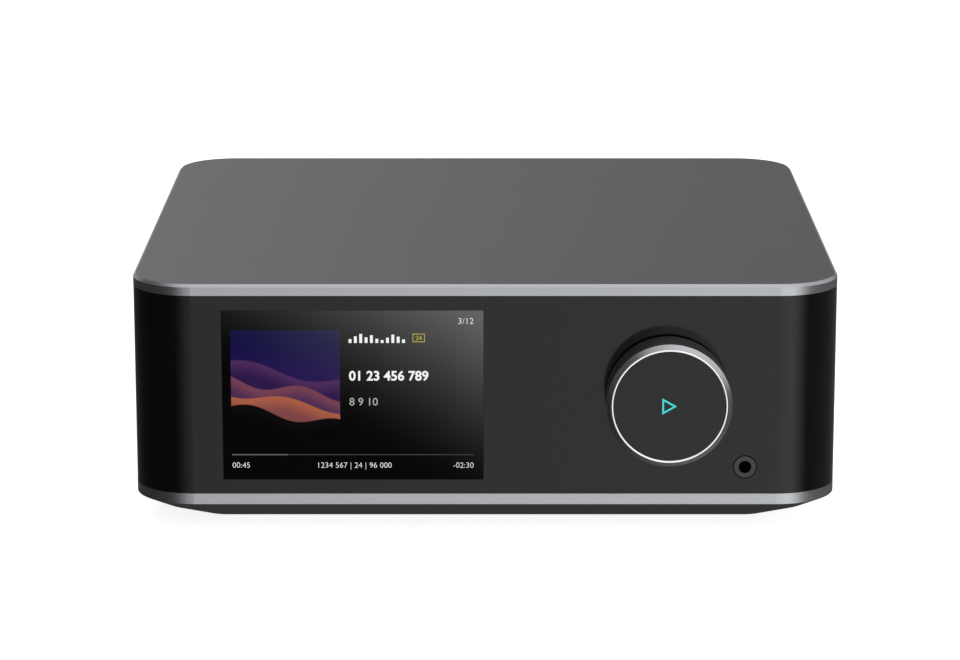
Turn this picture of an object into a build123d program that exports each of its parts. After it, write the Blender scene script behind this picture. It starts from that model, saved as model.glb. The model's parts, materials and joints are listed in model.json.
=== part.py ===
from build123d import *

import math
import os

# A desktop network music streamer: an aluminium housing on a tapered base, a gloss front that wraps
# both front corners, a display, a volume knob that turns and is pressed, and a row of rear sockets.
# Millimetres. The origin is at the centre of the footprint, on the table. The front faces -Y, Z is up.

# Enclosure
BODY_WIDTH = 200.0
BODY_DEPTH = 192.5
BODY_HEIGHT = 73.0
CORNER_RADIUS = 17.5
TOP_THICKNESS = 3.2
TOP_EDGE_CHAMFER = 0.8
WALL = 3.0
LOWER_BAR_HEIGHT = 3.1
SHELL_BOTTOM = 9.3
UNDERSIDE = 1.3
BASE_TAPER = 17.0
BASE_INNER_TAPER = 12.0
BASE_FLOOR = 2.0
RIM_HEIGHT = 3.0
RIM_THICKNESS = 1.6
FIT_GAP = 0.15
OVERRUN = 1.0

# Lugs on the side walls, and the posts of the base that they stand on
LUG_LENGTH = 21.5
LUG_WIDTH = 12.0
LUG_HEIGHT = 6.0
LUG_SIDE_INSET = 20.5
LUG_END_INSET = 36.25
POST_SIZE = 8.0
TAB_POST_SIZE = 5.6
TAB_POST_BOTTOM = 5.5

# Feet and air slots
FOOT_RADIUS = 8.0
FOOT_SIDE_INSET = 38.0
FOOT_END_INSET = 41.25
SLOT_WIDTH = 2.2
SLOT_LENGTH = 26.0
SLOT_PITCH = 7.0
SLOT_COUNT = 9
SLOT_ROW_SPREAD = 56.0

# Front fascia and its frame
FASCIA_THICKNESS = 2.5
FASCIA_GAP = 0.1
FASCIA_RETURN = 24.0
FRAME_END_INSET = 19.0
FRAME_PLATE = 2.0
FRAME_RIM_DEPTH = 2.0
FRAME_RIM_WALL = 1.5
FRAME_EDGE_GAP = 0.2
TAB_WIDTH = 12.0
TAB_LENGTH = 10.5
TAB_PLACE_SHARES = (-0.37, -0.09, 0.18)
TAB_POST_SETBACK = 4.8

# Display
DISPLAY_WIDTH = 73.5
DISPLAY_MARGIN = 4.2
DISPLAY_SIDE_INSET = 26.0
GLASS_THICKNESS = 1.5
GLASS_GAP = 0.05
MODULE_BORDER = 3.0
MODULE_THICKNESS = 3.0
RIBBON_THICKNESS = 0.3
DISPLAY_RIBBON_WIDTH = 20.0
DISPLAY_RIBBON_SLOT = 2.0
DISPLAY_RIBBON_DROP = 1.1

# Knob, measured forward from the face of the fascia
KNOB_SIDE_INSET = 48.75
KNOB_RADIUS = 17.5
KNOB_STANDOFF = 12.5
KNOB_BACK_GAP = 1.4
KNOB_CHAMFER = 1.0
TRIM_RADIUS = 16.3
TRIM_WIDTH = 0.65
FACE_RECESS = 0.15
FACE_THICKNESS = 1.4
TURN_GAP = 0.1
END_FLOAT = 0.2
RUNNING_CLEARANCE = 0.05
STEM_RADIUS = 3.0
STEM_TAIL = 9.75
SYMBOL_WIDTH = 4.1
SYMBOL_HEIGHT = 4.7
SYMBOL_STROKE = 0.5
SYMBOL_DEPTH = 0.6
BUSHING_RADIUS = 6.0
BUSHING_NOSE = 0.5
KNOB_HOLE_RADIUS = 6.4

# Control board with the press switch and the headphone jack
BOARD_THICKNESS = 1.6
CONTROL_BOARD_SETBACK = 8.15
CONTROL_BOARD_WIDTH = 44.0
CONTROL_BOARD_SIDE_INSET = 20.0
CONTROL_BOARD_RISE = 2.7
CONTROL_BOARD_DROP = 11.7
CONTROL_POST_SIZE = 5.6
CONTROL_POST_INSET = 3.5
CONTROL_POST_SIDE_INSET = 18.0
SWITCH_SIZE = 6.2
SWITCH_HEIGHT = 3.4
BUTTON_SIZE = 3.4
BUTTON_LENGTH = 2.65
BUTTON_UNDER_GAP = 0.7
HEADPHONE_SIDE_INSET = 26.6
HEADPHONE_RISE = 7.75
BEZEL_RADIUS = 3.1
BEZEL_REVEAL = 0.3
PLUG_BORE_RADIUS = 1.8
HEADPHONE_BODY_SIZE = 9.0
HEADPHONE_SETBACK = 0.75
HEADPHONE_BORE_DEPTH = 10.9

# Circuit boards standing on the base
BOARD_LEVEL = 19.5
BOARD_END_INSET = 4.75
BOARD_SIDE_INSET = 13.0
BOARD_SPACING = 2.0
MAIN_BOARD_DEPTH = 83.5
POWER_BOARD_WIDTH = 27.0
POWER_BOARD_DEPTH = 101.5
STANDOFF_RADIUS = 2.75
STANDOFF_REAR_INSET = 25.25
STANDOFF_INSET = 4.5
STANDOFF_SIDE_INSET = 8.0

# What stands on the boards: width, depth, height and distance from the rear of each, in rows. The shares give
# how far along its board, from left to right, each one of a row stands.
SHIELD_CANS = ((36.0, 32.0, 5.0, 56.25), (26.0, 22.0, 4.0, 62.25))
SHIELD_CAN_SHARES = ((0.2,), (0.635,))
CIRCUIT_CHIPS = (
    (9.0, 9.0, 1.2, 66.25),
    (7.0, 7.0, 1.2, 48.25),
    (6.0, 5.0, 1.2, 38.25),
    (8.0, 6.0, 1.4, 30.25),
)
CIRCUIT_CHIP_SHARES = ((0.42,), (0.48,), (0.62, 0.72, 0.81), (0.1,))
FILM_CAPACITORS = ((7.2, 4.0, 8.0, 27.25), (7.2, 4.0, 8.0, 72.25))
FILM_CAPACITOR_SHARES = ((0.59, 0.69, 0.79, 0.88), (0.83,))
POWER_CAPACITORS = ((18.0, 9.0, 15.0, 79.25), (18.0, 9.0, 15.0, 36.25))
POWER_CAPACITOR_SHARES = ((0.5,), (0.5,))
RIBBON_SOCKET_DEPTH = 5.0
RIBBON_SOCKET_HEIGHT = 5.0
RIBBON_SOCKET_SETBACK = 2.0
CONTROL_RIBBON_OFFSET = 6.75
CONTROL_RIBBON_WIDTH = 12.0
CONTROL_RIBBON_DROP = 7.1
RIBBON_ENTRY = 3.0
RIBBON_DROP_SHARES = (0.3, 0.6)
RIBBON_BEND = 8.0

# What stands on the power board
TRANSFORMER_SIZE = (20.0, 24.0, 18.0)
TRANSFORMER_INSET = 58.25
TRANSFORMER_CORE_SHARE = 0.5
HEAT_SINK_INSET = 94.25
HEAT_SINK_WIDTH = 22.0
HEAT_SINK_BACK = 2.0
HEAT_SINK_FIN = 4.0
HEAT_SINK_FIN_WIDTH = 1.2
HEAT_SINK_FIN_COUNT = 6
HEAT_SINK_HEIGHT = 24.0

# Antennas on the back of the front frame: width and height of each, one upright and one along the top
ANTENNAS = ((8.0, 30.0), (30.0, 6.0))
ANTENNA_INSET = 5.0
ANTENNA_OFFSET = 29.25
ANTENNA_THICKNESS = 0.8

# Rear panel in its pocket, with a row of sockets of these widths, from +X to -X
PANEL_SIDE_INSET = 18.0
PANEL_BOTTOM = 15.5
PANEL_DROP = 6.5
PANEL_CORNER_RADIUS = 3.0
PANEL_THICKNESS = 1.4
PANEL_RECESS = 0.2
PANEL_LEDGE = 3.0
PHONO_COLUMN_WIDTH = 13.0
OPTICAL_WIDTH = 9.6
TRIGGER_WIDTH = 8.0
HDMI_WIDTH = 15.0
NETWORK_WIDTH = 16.1
USB_WIDTH = 13.4
INLET_WIDTH = 20.0
PANEL_CUT_GAP = 0.15

# Phono type sockets, two in each column
PHONO_BLOCK_DEPTH = 14.0
PHONO_SPACING_SHARE = 0.33
PHONO_SHELL_RADIUS = 4.15
PHONO_SHELL_WALL = 0.5
PHONO_SHELL_REACH = 9.0
PHONO_CORE_RECESS = 1.5
PHONO_CONTACT_BORE = 1.62
PHONO_BLOCK_BORE_DEPTH = 8.0
RADIAL_GAP = 0.05

# Optical sockets with sprung flaps
OPTICAL_HEIGHT = 10.4
OPTICAL_DEPTH = 15.0
OPTICAL_PROUD = 0.8
OPTICAL_CAVITY = 8.0
OPTICAL_CAVITY_DEPTH = 10.2
FLAP_SETBACK = 0.5
FLAP_THICKNESS = 0.8
FLAP_SIDE_GAP = 0.15
FLAP_HANG = 0.85

# Board-mounted metal and plastic sockets
SOCKET_PROUD = 0.5
TRIGGER_HEIGHT = 7.0
TRIGGER_DEPTH = 15.0
TRIGGER_BORE_DEPTH = 13.2
HDMI_HEIGHT = 6.2
HDMI_CAVITY_WIDTH = 14.0
HDMI_CAVITY_HEIGHT = 4.6
HDMI_CAVITY_BEVEL = 1.6
HDMI_DEPTH = 14.0
HDMI_CAVITY_DEPTH = 11.0
HDMI_TONGUE_WIDTH = 11.4
HDMI_TONGUE_HEIGHT = 1.2
HDMI_TONGUE_LENGTH = 8.5
NETWORK_HEIGHT = 13.4
NETWORK_DEPTH = 20.0
NETWORK_CAVITY_WIDTH = 11.8
NETWORK_CAVITY_HEIGHT = 7.4
NETWORK_CAVITY_DEPTH = 14.0
NETWORK_FLOOR = 3.6
NETWORK_LATCH_WIDTH = 6.2
NETWORK_LATCH_HEIGHT = 2.2
NETWORK_CONTACT_COUNT = 8
NETWORK_CONTACT_PITCH = 1.02
NETWORK_CONTACT_WIDTH = 0.45
NETWORK_CONTACT_LENGTH = 9.0
NETWORK_CONTACT_DROP = 1.6
NETWORK_CONTACT_SETBACK = 3.0
USB_HEIGHT = 6.8
USB_DEPTH = 14.0
USB_CAVITY_WIDTH = 12.6
USB_CAVITY_HEIGHT = 5.2
USB_CAVITY_DEPTH = 10.0
USB_TONGUE_WIDTH = 11.2
USB_TONGUE_HEIGHT = 1.9
USB_TONGUE_LENGTH = 8.8
USB_TONGUE_RISE = 0.3
INLET_HEIGHT = 12.5
INLET_DEPTH = 20.0
INLET_PROUD = 1.0
INLET_CAVITY_DEPTH = 12.0
INLET_CAVITY_HEIGHT = 8.4
INLET_PIN_SPACING = 8.6
INLET_PIN_RADIUS = 1.18
INLET_PIN_LENGTH = 9.5

# Ground post above the first phono column
GROUND_STUD_RADIUS = 2.0
GROUND_STUD_REACH = 12.8
GROUND_HEX_FLATS = 8.0
GROUND_HEX_THICKNESS = 2.0
GROUND_WASHER_RADIUS = 4.2
GROUND_WASHER_THICKNESS = 0.8
GROUND_NUT_RADIUS = 4.5
GROUND_NUT_LENGTH = 6.0

os.makedirs("parts", exist_ok=True)


def keep(piece: Part, node: str) -> None:
    """Labels a finished piece and writes it as a file of its own."""
    piece.label = node
    export_step(piece, f"parts/{node}.step")


def upright(depth: float) -> Plane:
    """The upright plane at a depth, with x to the right and z up. Its front side faces -Y."""
    return Plane.XZ.offset(-depth)


def turned(section: Plane, profile: list) -> Part:
    """A turned piece: a closed profile of (distance along, radius) points spun about the plane's x."""
    with BuildPart() as piece:
        with BuildSketch(section):
            with BuildLine():
                Polyline(*profile, close=True)
            make_face()
        revolve(axis=Axis(section.origin, section.x_dir))
    return piece.part


def rod(centre: tuple, rear: float, front: float, radius: float, bore: float = 0) -> Part:
    """A round piece along Y between two depths, about (x, z), with a bore if one is given."""
    with BuildPart() as piece:
        with BuildSketch(upright(rear)):
            with Locations(centre):
                Circle(radius)
                if bore:
                    Circle(bore, mode=Mode.SUBTRACT)
        extrude(amount=rear - front)
    return piece.part


def block(place: tuple, size: tuple, level: float) -> Part:
    """A block standing at a level: place is its centre (x, y), size its width, depth and height."""
    with BuildPart() as piece:
        with BuildSketch(Plane.XY.offset(level)):
            with Locations(place):
                Rectangle(size[0], size[1])
        extrude(amount=size[2])
    return piece.part


# Levels and depths that more than one piece shares
front = -BODY_DEPTH / 2
rear = BODY_DEPTH / 2
top_inside = BODY_HEIGHT - TOP_THICKNESS
window_bottom = SHELL_BOTTOM + LOWER_BAR_HEIGHT
fascia_bottom = window_bottom + FASCIA_GAP
fascia_top = top_inside - FASCIA_GAP
control_z = (window_bottom + top_inside) / 2
fascia_back = front + FASCIA_THICKNESS
half_width = BODY_WIDTH / 2
inner_width = BODY_WIDTH - WALL * 2
inner_depth = BODY_DEPTH - WALL * 2
inner_radius = CORNER_RADIUS - WALL
floor_level = UNDERSIDE + BASE_FLOOR
rim_top = SHELL_BOTTOM + RIM_HEIGHT
lug_bottom = rim_top + FRAME_EDGE_GAP
lug_x = inner_width / 2 - LUG_LENGTH / 2
board_top = BOARD_LEVEL + BOARD_THICKNESS
panel_face = rear - PANEL_RECESS
panel_inside = panel_face - PANEL_THICKNESS
panel_top = BODY_HEIGHT - PANEL_DROP
panel_z = (PANEL_BOTTOM + panel_top) / 2
panel_height = panel_top - PANEL_BOTTOM
panel_width = BODY_WIDTH - PANEL_SIDE_INSET * 2
display_height = fascia_top - fascia_bottom - DISPLAY_MARGIN * 2 + FASCIA_GAP * 2
display_x = DISPLAY_SIDE_INSET + DISPLAY_WIDTH / 2 - half_width
knob_x = half_width - KNOB_SIDE_INSET
board_end = rear - BOARD_END_INSET
power_board_left = BOARD_SIDE_INSET - half_width
main_board_left = power_board_left + POWER_BOARD_WIDTH + BOARD_SPACING
main_board_right = half_width - BOARD_SIDE_INSET
main_board_front = board_end - MAIN_BOARD_DEPTH
power_board_front = board_end - POWER_BOARD_DEPTH
power_board_x = power_board_left + POWER_BOARD_WIDTH / 2

# Socket places along the panel, with equal gaps between the bodies
socket_widths = {
    "phono_in": PHONO_COLUMN_WIDTH,
    "line_out": PHONO_COLUMN_WIDTH,
    "optical_in": OPTICAL_WIDTH,
    "optical_out": OPTICAL_WIDTH,
    "trigger": TRIGGER_WIDTH,
    "hdmi": HDMI_WIDTH,
    "network": NETWORK_WIDTH,
    "usb": USB_WIDTH,
    "inlet": INLET_WIDTH,
}
socket_gap = (panel_width - sum(socket_widths.values())) / (len(socket_widths) + 1)
socket_x = {}
edge = panel_width / 2
for socket, width in socket_widths.items():
    edge -= socket_gap
    socket_x[socket] = edge - width / 2
    edge -= width

# Housing shell: top plate, side and rear walls, and the bar under the front window
lug_y = rear - LUG_END_INSET
lug_places = [(side * lug_x, end * lug_y) for side in (-1, 1) for end in (-1, 1)]
post_places = [(side * (half_width - LUG_SIDE_INSET), end * lug_y) for side in (-1, 1) for end in (-1, 1)]
with BuildPart() as shell:
    with BuildSketch(Plane.XY.offset(SHELL_BOTTOM)):
        RectangleRounded(BODY_WIDTH, BODY_DEPTH, CORNER_RADIUS)
    extrude(amount=BODY_HEIGHT - SHELL_BOTTOM)
    chamfer(shell.faces().sort_by(Axis.Z)[-1].edges(), length=TOP_EDGE_CHAMFER)
    with BuildSketch(Plane.XY.offset(SHELL_BOTTOM)):
        RectangleRounded(inner_width, inner_depth, inner_radius)
    extrude(amount=top_inside - SHELL_BOTTOM, mode=Mode.SUBTRACT)
    # The front window, which runs round both front corners
    with BuildSketch(Plane.XY.offset(window_bottom)):
        with Locations((0, front + (FASCIA_RETURN - OVERRUN) / 2)):
            Rectangle(BODY_WIDTH + OVERRUN * 2, FASCIA_RETURN + OVERRUN)
    extrude(amount=top_inside - window_bottom, mode=Mode.SUBTRACT)
    # The lugs that stand on the base
    with BuildSketch(Plane.XY.offset(lug_bottom)):
        with Locations(*lug_places):
            Rectangle(LUG_LENGTH, LUG_WIDTH)
    extrude(amount=LUG_HEIGHT)
    # The panel's pocket, and the opening inside its ledge
    with BuildSketch(upright(rear + OVERRUN)):
        with Locations((0, panel_z)):
            RectangleRounded(
                panel_width + FIT_GAP * 2, panel_height + FIT_GAP * 2, PANEL_CORNER_RADIUS + FIT_GAP
            )
    extrude(amount=rear + OVERRUN - panel_inside, mode=Mode.SUBTRACT)
    with BuildSketch(upright(rear)):
        with Locations((0, panel_z)):
            Rectangle(panel_width - PANEL_LEDGE, panel_height - PANEL_LEDGE)
    extrude(amount=WALL + OVERRUN, mode=Mode.SUBTRACT)
keep(shell.part, "housing_shell")

# Base tray: a broad taper down to a flat underside, a rim that locates inside the shell, and bosses
frame_width = BODY_WIDTH - FRAME_END_INSET * 2
tab_xs = [frame_width * share for share in TAB_PLACE_SHARES]
tab_places = [(x, fascia_back + FRAME_RIM_DEPTH + FRAME_PLATE + TAB_POST_SETBACK) for x in tab_xs]
standoff_places = [
    (x, y)
    for x in (main_board_left + STANDOFF_INSET, main_board_right - STANDOFF_SIDE_INSET)
    for y in (main_board_front + STANDOFF_INSET, rear - STANDOFF_REAR_INSET)
] + [
    (x, y)
    for x in (power_board_left + STANDOFF_SIDE_INSET, main_board_left - BOARD_SPACING - STANDOFF_INSET)
    for y in (power_board_front + STANDOFF_INSET, rear - STANDOFF_REAR_INSET)
]
rim_width = inner_width - FIT_GAP * 2
rim_depth = inner_depth - FIT_GAP * 2
rim_radius = inner_radius - FIT_GAP
tray_width = rim_width - RIM_THICKNESS * 2
tray_depth = rim_depth - RIM_THICKNESS * 2
tray_radius = rim_radius - RIM_THICKNESS
outer_slope = math.degrees(math.atan(BASE_TAPER / (SHELL_BOTTOM - UNDERSIDE)))
inner_slope = math.degrees(math.atan(BASE_INNER_TAPER / (SHELL_BOTTOM - floor_level)))
with BuildPart() as base:
    with BuildSketch(Plane.XY.offset(SHELL_BOTTOM)):
        RectangleRounded(BODY_WIDTH, BODY_DEPTH, CORNER_RADIUS)
    extrude(amount=UNDERSIDE - SHELL_BOTTOM, taper=outer_slope)
    with BuildSketch(Plane.XY.offset(SHELL_BOTTOM)):
        RectangleRounded(rim_width, rim_depth, rim_radius)
    extrude(amount=RIM_HEIGHT)
    with BuildSketch(Plane.XY.offset(SHELL_BOTTOM)):
        RectangleRounded(tray_width, tray_depth, tray_radius)
    extrude(amount=floor_level - SHELL_BOTTOM, taper=inner_slope, mode=Mode.SUBTRACT)
    with BuildSketch(Plane.XY.offset(SHELL_BOTTOM)):
        RectangleRounded(tray_width, tray_depth, tray_radius)
    extrude(amount=RIM_HEIGHT, mode=Mode.SUBTRACT)
    # One half is kept and mirrored, so that the tray is exactly alike on both sides
    split(bisect_by=Plane.YZ, keep=Keep.BOTTOM)
    mirror(about=Plane.YZ)
    # Posts under the housing's lugs, and under the tabs of the front frame
    with BuildSketch(Plane.XY.offset(floor_level - BASE_FLOOR / 2)):
        with Locations(*post_places):
            Rectangle(POST_SIZE, POST_SIZE)
    extrude(amount=lug_bottom - floor_level + BASE_FLOOR / 2)
    with BuildSketch(Plane.XY.offset(TAB_POST_BOTTOM)):
        with Locations(*tab_places):
            Rectangle(TAB_POST_SIZE, TAB_POST_SIZE)
    extrude(amount=lug_bottom - TAB_POST_BOTTOM)
    with BuildSketch(Plane.XY.offset(UNDERSIDE)):
        with GridLocations(SLOT_PITCH, SLOT_ROW_SPREAD, SLOT_COUNT, 2):
            Rectangle(SLOT_WIDTH, SLOT_LENGTH)
    extrude(amount=BASE_FLOOR, mode=Mode.SUBTRACT)
keep(base.part, "base_tray")

with BuildPart() as feet:
    with BuildSketch(Plane.XY):
        with GridLocations(BODY_WIDTH - FOOT_SIDE_INSET * 2, BODY_DEPTH - FOOT_END_INSET * 2, 2, 2):
            Circle(FOOT_RADIUS)
    extrude(amount=UNDERSIDE)
keep(feet.part, "rubber_feet")

# Front fascia: a gloss moulding that follows the body's outline round both corners
window_width = DISPLAY_WIDTH + GLASS_GAP * 2
window_height = display_height + GLASS_GAP * 2
module_width = DISPLAY_WIDTH + MODULE_BORDER * 2
module_height = display_height + MODULE_BORDER * 2
module_front = front + GLASS_THICKNESS
plate_front = fascia_back + FRAME_RIM_DEPTH
plate_back = plate_front + FRAME_PLATE
headphone = (half_width - HEADPHONE_SIDE_INSET, fascia_bottom + HEADPHONE_RISE)
bezel_hole = BEZEL_RADIUS + BEZEL_REVEAL
fascia_end = FASCIA_RETURN - FASCIA_GAP
with BuildPart() as fascia:
    with BuildSketch(Plane.XY.offset(fascia_bottom)):
        RectangleRounded(BODY_WIDTH, BODY_DEPTH, CORNER_RADIUS)
        RectangleRounded(
            BODY_WIDTH - FASCIA_THICKNESS * 2,
            BODY_DEPTH - FASCIA_THICKNESS * 2,
            CORNER_RADIUS - FASCIA_THICKNESS,
            mode=Mode.SUBTRACT,
        )
        with Locations((0, front + fascia_end / 2)):
            Rectangle(BODY_WIDTH, fascia_end, mode=Mode.INTERSECT)
    extrude(amount=fascia_top - fascia_bottom)
    with BuildSketch(upright(fascia_back)):
        with Locations((display_x, control_z)):
            Rectangle(window_width, window_height)
        with Locations((knob_x, control_z)):
            Circle(KNOB_HOLE_RADIUS)
        with Locations(headphone):
            Circle(bezel_hole)
    extrude(amount=FASCIA_THICKNESS, mode=Mode.SUBTRACT)
    with BuildSketch(upright(fascia_back)):
        with Locations((display_x, control_z)):
            Rectangle(module_width + GLASS_GAP * 2, module_height + GLASS_GAP * 2)
    extrude(amount=fascia_back - module_front, mode=Mode.SUBTRACT)
keep(fascia.part, "front_fascia")

with BuildPart() as glass:
    with BuildSketch(upright(module_front)):
        with Locations((display_x, control_z)):
            Rectangle(DISPLAY_WIDTH, display_height)
    extrude(amount=GLASS_THICKNESS)
keep(glass.part, "display_glass")

with BuildPart() as module:
    with BuildSketch(upright(module_front + MODULE_THICKNESS)):
        with Locations((display_x, control_z)):
            Rectangle(module_width, module_height)
    extrude(amount=MODULE_THICKNESS)
keep(module.part, "display_module")

# Front frame: a plate with a rim that stands on the fascia, a bushing for the knob's stem, posts for the
# control board, and tabs that stand on the base
frame_bottom = fascia_bottom + FRAME_EDGE_GAP
frame_top = fascia_top - FRAME_EDGE_GAP
frame_height = frame_top - frame_bottom
frame_z = (frame_top + frame_bottom) / 2
control_front = plate_back + CONTROL_BOARD_SETBACK
control_back = control_front + BOARD_THICKNESS
knob_centre = (knob_x, control_z)
board_right = half_width - CONTROL_BOARD_SIDE_INSET
board_left = board_right - CONTROL_BOARD_WIDTH
board_low = fascia_bottom + CONTROL_BOARD_RISE
board_high = fascia_top - CONTROL_BOARD_DROP
post_columns = (board_left + CONTROL_POST_INSET, board_right - CONTROL_POST_SIDE_INSET)
control_posts = [(x, board_low + CONTROL_POST_INSET) for x in post_columns]
control_posts += [
    (x, board_high - CONTROL_POST_INSET)
    for x in (board_left + CONTROL_POST_INSET, board_right - CONTROL_POST_INSET)
]
ribbon_level = control_z - DISPLAY_RIBBON_DROP
with BuildPart() as frame:
    with BuildSketch(upright(plate_back)):
        with Locations((0, frame_z)):
            Rectangle(frame_width, frame_height)
    extrude(amount=FRAME_PLATE + FRAME_RIM_DEPTH)
    with BuildSketch(upright(plate_front)):
        with Locations((0, frame_z)):
            Rectangle(frame_width - FRAME_RIM_WALL * 2, frame_height - FRAME_RIM_WALL * 2)
        with Locations((display_x, control_z)):
            Rectangle(module_width + GLASS_GAP * 2, module_height + GLASS_GAP * 2)
    extrude(amount=FRAME_RIM_DEPTH, mode=Mode.SUBTRACT)
    with BuildSketch(upright(plate_back)):
        with Locations(*control_posts):
            Rectangle(CONTROL_POST_SIZE, CONTROL_POST_SIZE)
    extrude(amount=-CONTROL_BOARD_SETBACK)
    with BuildSketch(Plane.XY.offset(lug_bottom)):
        with Locations(*[(x, plate_back + TAB_LENGTH / 2) for x in tab_xs]):
            Rectangle(TAB_WIDTH, TAB_LENGTH)
    extrude(amount=FRAME_PLATE)
    with BuildSketch(upright(plate_back)):
        with Locations(knob_centre):
            Circle(BUSHING_RADIUS)
    extrude(amount=plate_back - front + BUSHING_NOSE)
    with BuildSketch(upright(plate_back)):
        with Locations(knob_centre):
            Circle(STEM_RADIUS + RUNNING_CLEARANCE)
    extrude(amount=plate_back - front + BUSHING_NOSE, mode=Mode.SUBTRACT)
    with BuildSketch(upright(plate_back)):
        with Locations(headphone):
            Rectangle(HEADPHONE_BODY_SIZE + FIT_GAP * 2, HEADPHONE_BODY_SIZE + FIT_GAP * 2)
        with Locations((display_x, ribbon_level)):
            Rectangle(DISPLAY_RIBBON_WIDTH + DISPLAY_RIBBON_SLOT, DISPLAY_RIBBON_SLOT)
    extrude(amount=FRAME_PLATE, mode=Mode.SUBTRACT)
keep(frame.part, "front_frame")

# Knob: a cap that turns on the stem of its face, while the face and its symbol stay upright. The stem slides
# in the frame's bushing, so that a press on the face reaches the switch. The cap and the face are turned
# about one axis, and each profile gives (distance in front of the fascia, radius).
knob_section = Plane(origin=(knob_x, front, control_z), x_dir=(0, -1, 0), z_dir=(-1, 0, 0))
face_front = KNOB_STANDOFF - FACE_RECESS
face_back = face_front - FACE_THICKNESS
web_front = face_back - END_FLOAT
trim_inner = TRIM_RADIUS - TRIM_WIDTH
bore_radius = STEM_RADIUS + RUNNING_CLEARANCE
knob = turned(
    knob_section,
    [
        (KNOB_BACK_GAP, KNOB_RADIUS),
        (KNOB_STANDOFF - KNOB_CHAMFER, KNOB_RADIUS),
        (KNOB_STANDOFF, TRIM_RADIUS),
        (KNOB_STANDOFF, trim_inner),
        (web_front, trim_inner),
        (web_front, bore_radius),
        (KNOB_BACK_GAP, bore_radius),
    ],
)
keep(knob, "volume_knob")

# The symbol on the face: an outlined triangle that points right, set into the front of the disc
symbol_points = [
    (-SYMBOL_WIDTH / 2, SYMBOL_HEIGHT / 2),
    (SYMBOL_WIDTH / 2, 0),
    (-SYMBOL_WIDTH / 2, -SYMBOL_HEIGHT / 2),
]
with BuildPart() as symbol:
    with BuildSketch(upright(front - face_front + SYMBOL_DEPTH)):
        with Locations(knob_centre):
            with BuildSketch(mode=Mode.PRIVATE) as outline:
                with BuildLine():
                    Polyline(*symbol_points, close=True)
                make_face()
                offset(amount=-SYMBOL_STROKE, kind=Kind.INTERSECTION, mode=Mode.SUBTRACT)
            add(outline.sketch)
    extrude(amount=SYMBOL_DEPTH)
keep(symbol.part, "play_symbol")
face_profile = [
    (face_front, 0),
    (face_front, trim_inner - TURN_GAP),
    (face_back, trim_inner - TURN_GAP),
    (face_back, STEM_RADIUS),
    (-STEM_TAIL, STEM_RADIUS),
    (-STEM_TAIL, 0),
]
with BuildPart() as knob_face:
    add(turned(knob_section, face_profile))
    add(symbol.part, mode=Mode.SUBTRACT)
keep(knob_face.part, "knob_face")

# Press switch, and the button that the stem pushes and that brings the face back
stem_end = front + STEM_TAIL
with BuildPart() as switch:
    with BuildSketch(upright(control_front)):
        with Locations(knob_centre):
            Rectangle(SWITCH_SIZE, SWITCH_SIZE)
    extrude(amount=SWITCH_HEIGHT)
    with BuildSketch(upright(stem_end + BUTTON_LENGTH + BUTTON_UNDER_GAP)):
        with Locations(knob_centre):
            Rectangle(BUTTON_SIZE + RUNNING_CLEARANCE * 2, BUTTON_SIZE + RUNNING_CLEARANCE * 2)
    extrude(amount=BUTTON_LENGTH + BUTTON_UNDER_GAP, mode=Mode.SUBTRACT)
keep(switch.part, "press_switch")
with BuildPart() as button:
    with BuildSketch(upright(stem_end + BUTTON_LENGTH)):
        with Locations(knob_centre):
            Rectangle(BUTTON_SIZE, BUTTON_SIZE)
    extrude(amount=BUTTON_LENGTH)
keep(button.part, "switch_button")

# Control board on the frame's posts
control_board_place = (board_right - CONTROL_BOARD_WIDTH / 2, (board_low + board_high) / 2)
with BuildPart() as control_board:
    with BuildSketch(upright(control_back)):
        with Locations(control_board_place):
            Rectangle(CONTROL_BOARD_WIDTH, board_high - board_low)
    extrude(amount=BOARD_THICKNESS)
keep(control_board.part, "control_board")

# Headphone socket: a bezel ring in the fascia, and the jack behind it on the control board
bezel_front = front - TURN_GAP
jack_mouth = fascia_back + HEADPHONE_SETBACK
keep(rod(headphone, jack_mouth, bezel_front, BEZEL_RADIUS, PLUG_BORE_RADIUS), "headphone_bezel")
with BuildPart() as jack:
    with BuildSketch(upright(control_front)):
        with Locations(headphone):
            Rectangle(HEADPHONE_BODY_SIZE, HEADPHONE_BODY_SIZE)
    extrude(amount=control_front - jack_mouth)
    with BuildSketch(upright(jack_mouth + HEADPHONE_BORE_DEPTH)):
        with Locations(headphone):
            Circle(PLUG_BORE_RADIUS)
    extrude(amount=HEADPHONE_BORE_DEPTH, mode=Mode.SUBTRACT)
keep(jack.part, "headphone_jack")

# Boards and their standoffs
board_outlines = {
    "main_board": (main_board_left, main_board_right, main_board_front),
    "power_board": (power_board_left, power_board_left + POWER_BOARD_WIDTH, power_board_front),
}
for node, (left, right, start) in board_outlines.items():
    place = ((left + right) / 2, (start + board_end) / 2)
    keep(block(place, (right - left, board_end - start, BOARD_THICKNESS), BOARD_LEVEL), node)

with BuildPart() as standoffs:
    with BuildSketch(Plane.XY.offset(floor_level)):
        with Locations(*standoff_places):
            RegularPolygon(STANDOFF_RADIUS, 6, major_radius=False)
    extrude(amount=BOARD_LEVEL - floor_level)
keep(standoffs.part, "board_standoffs")

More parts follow.
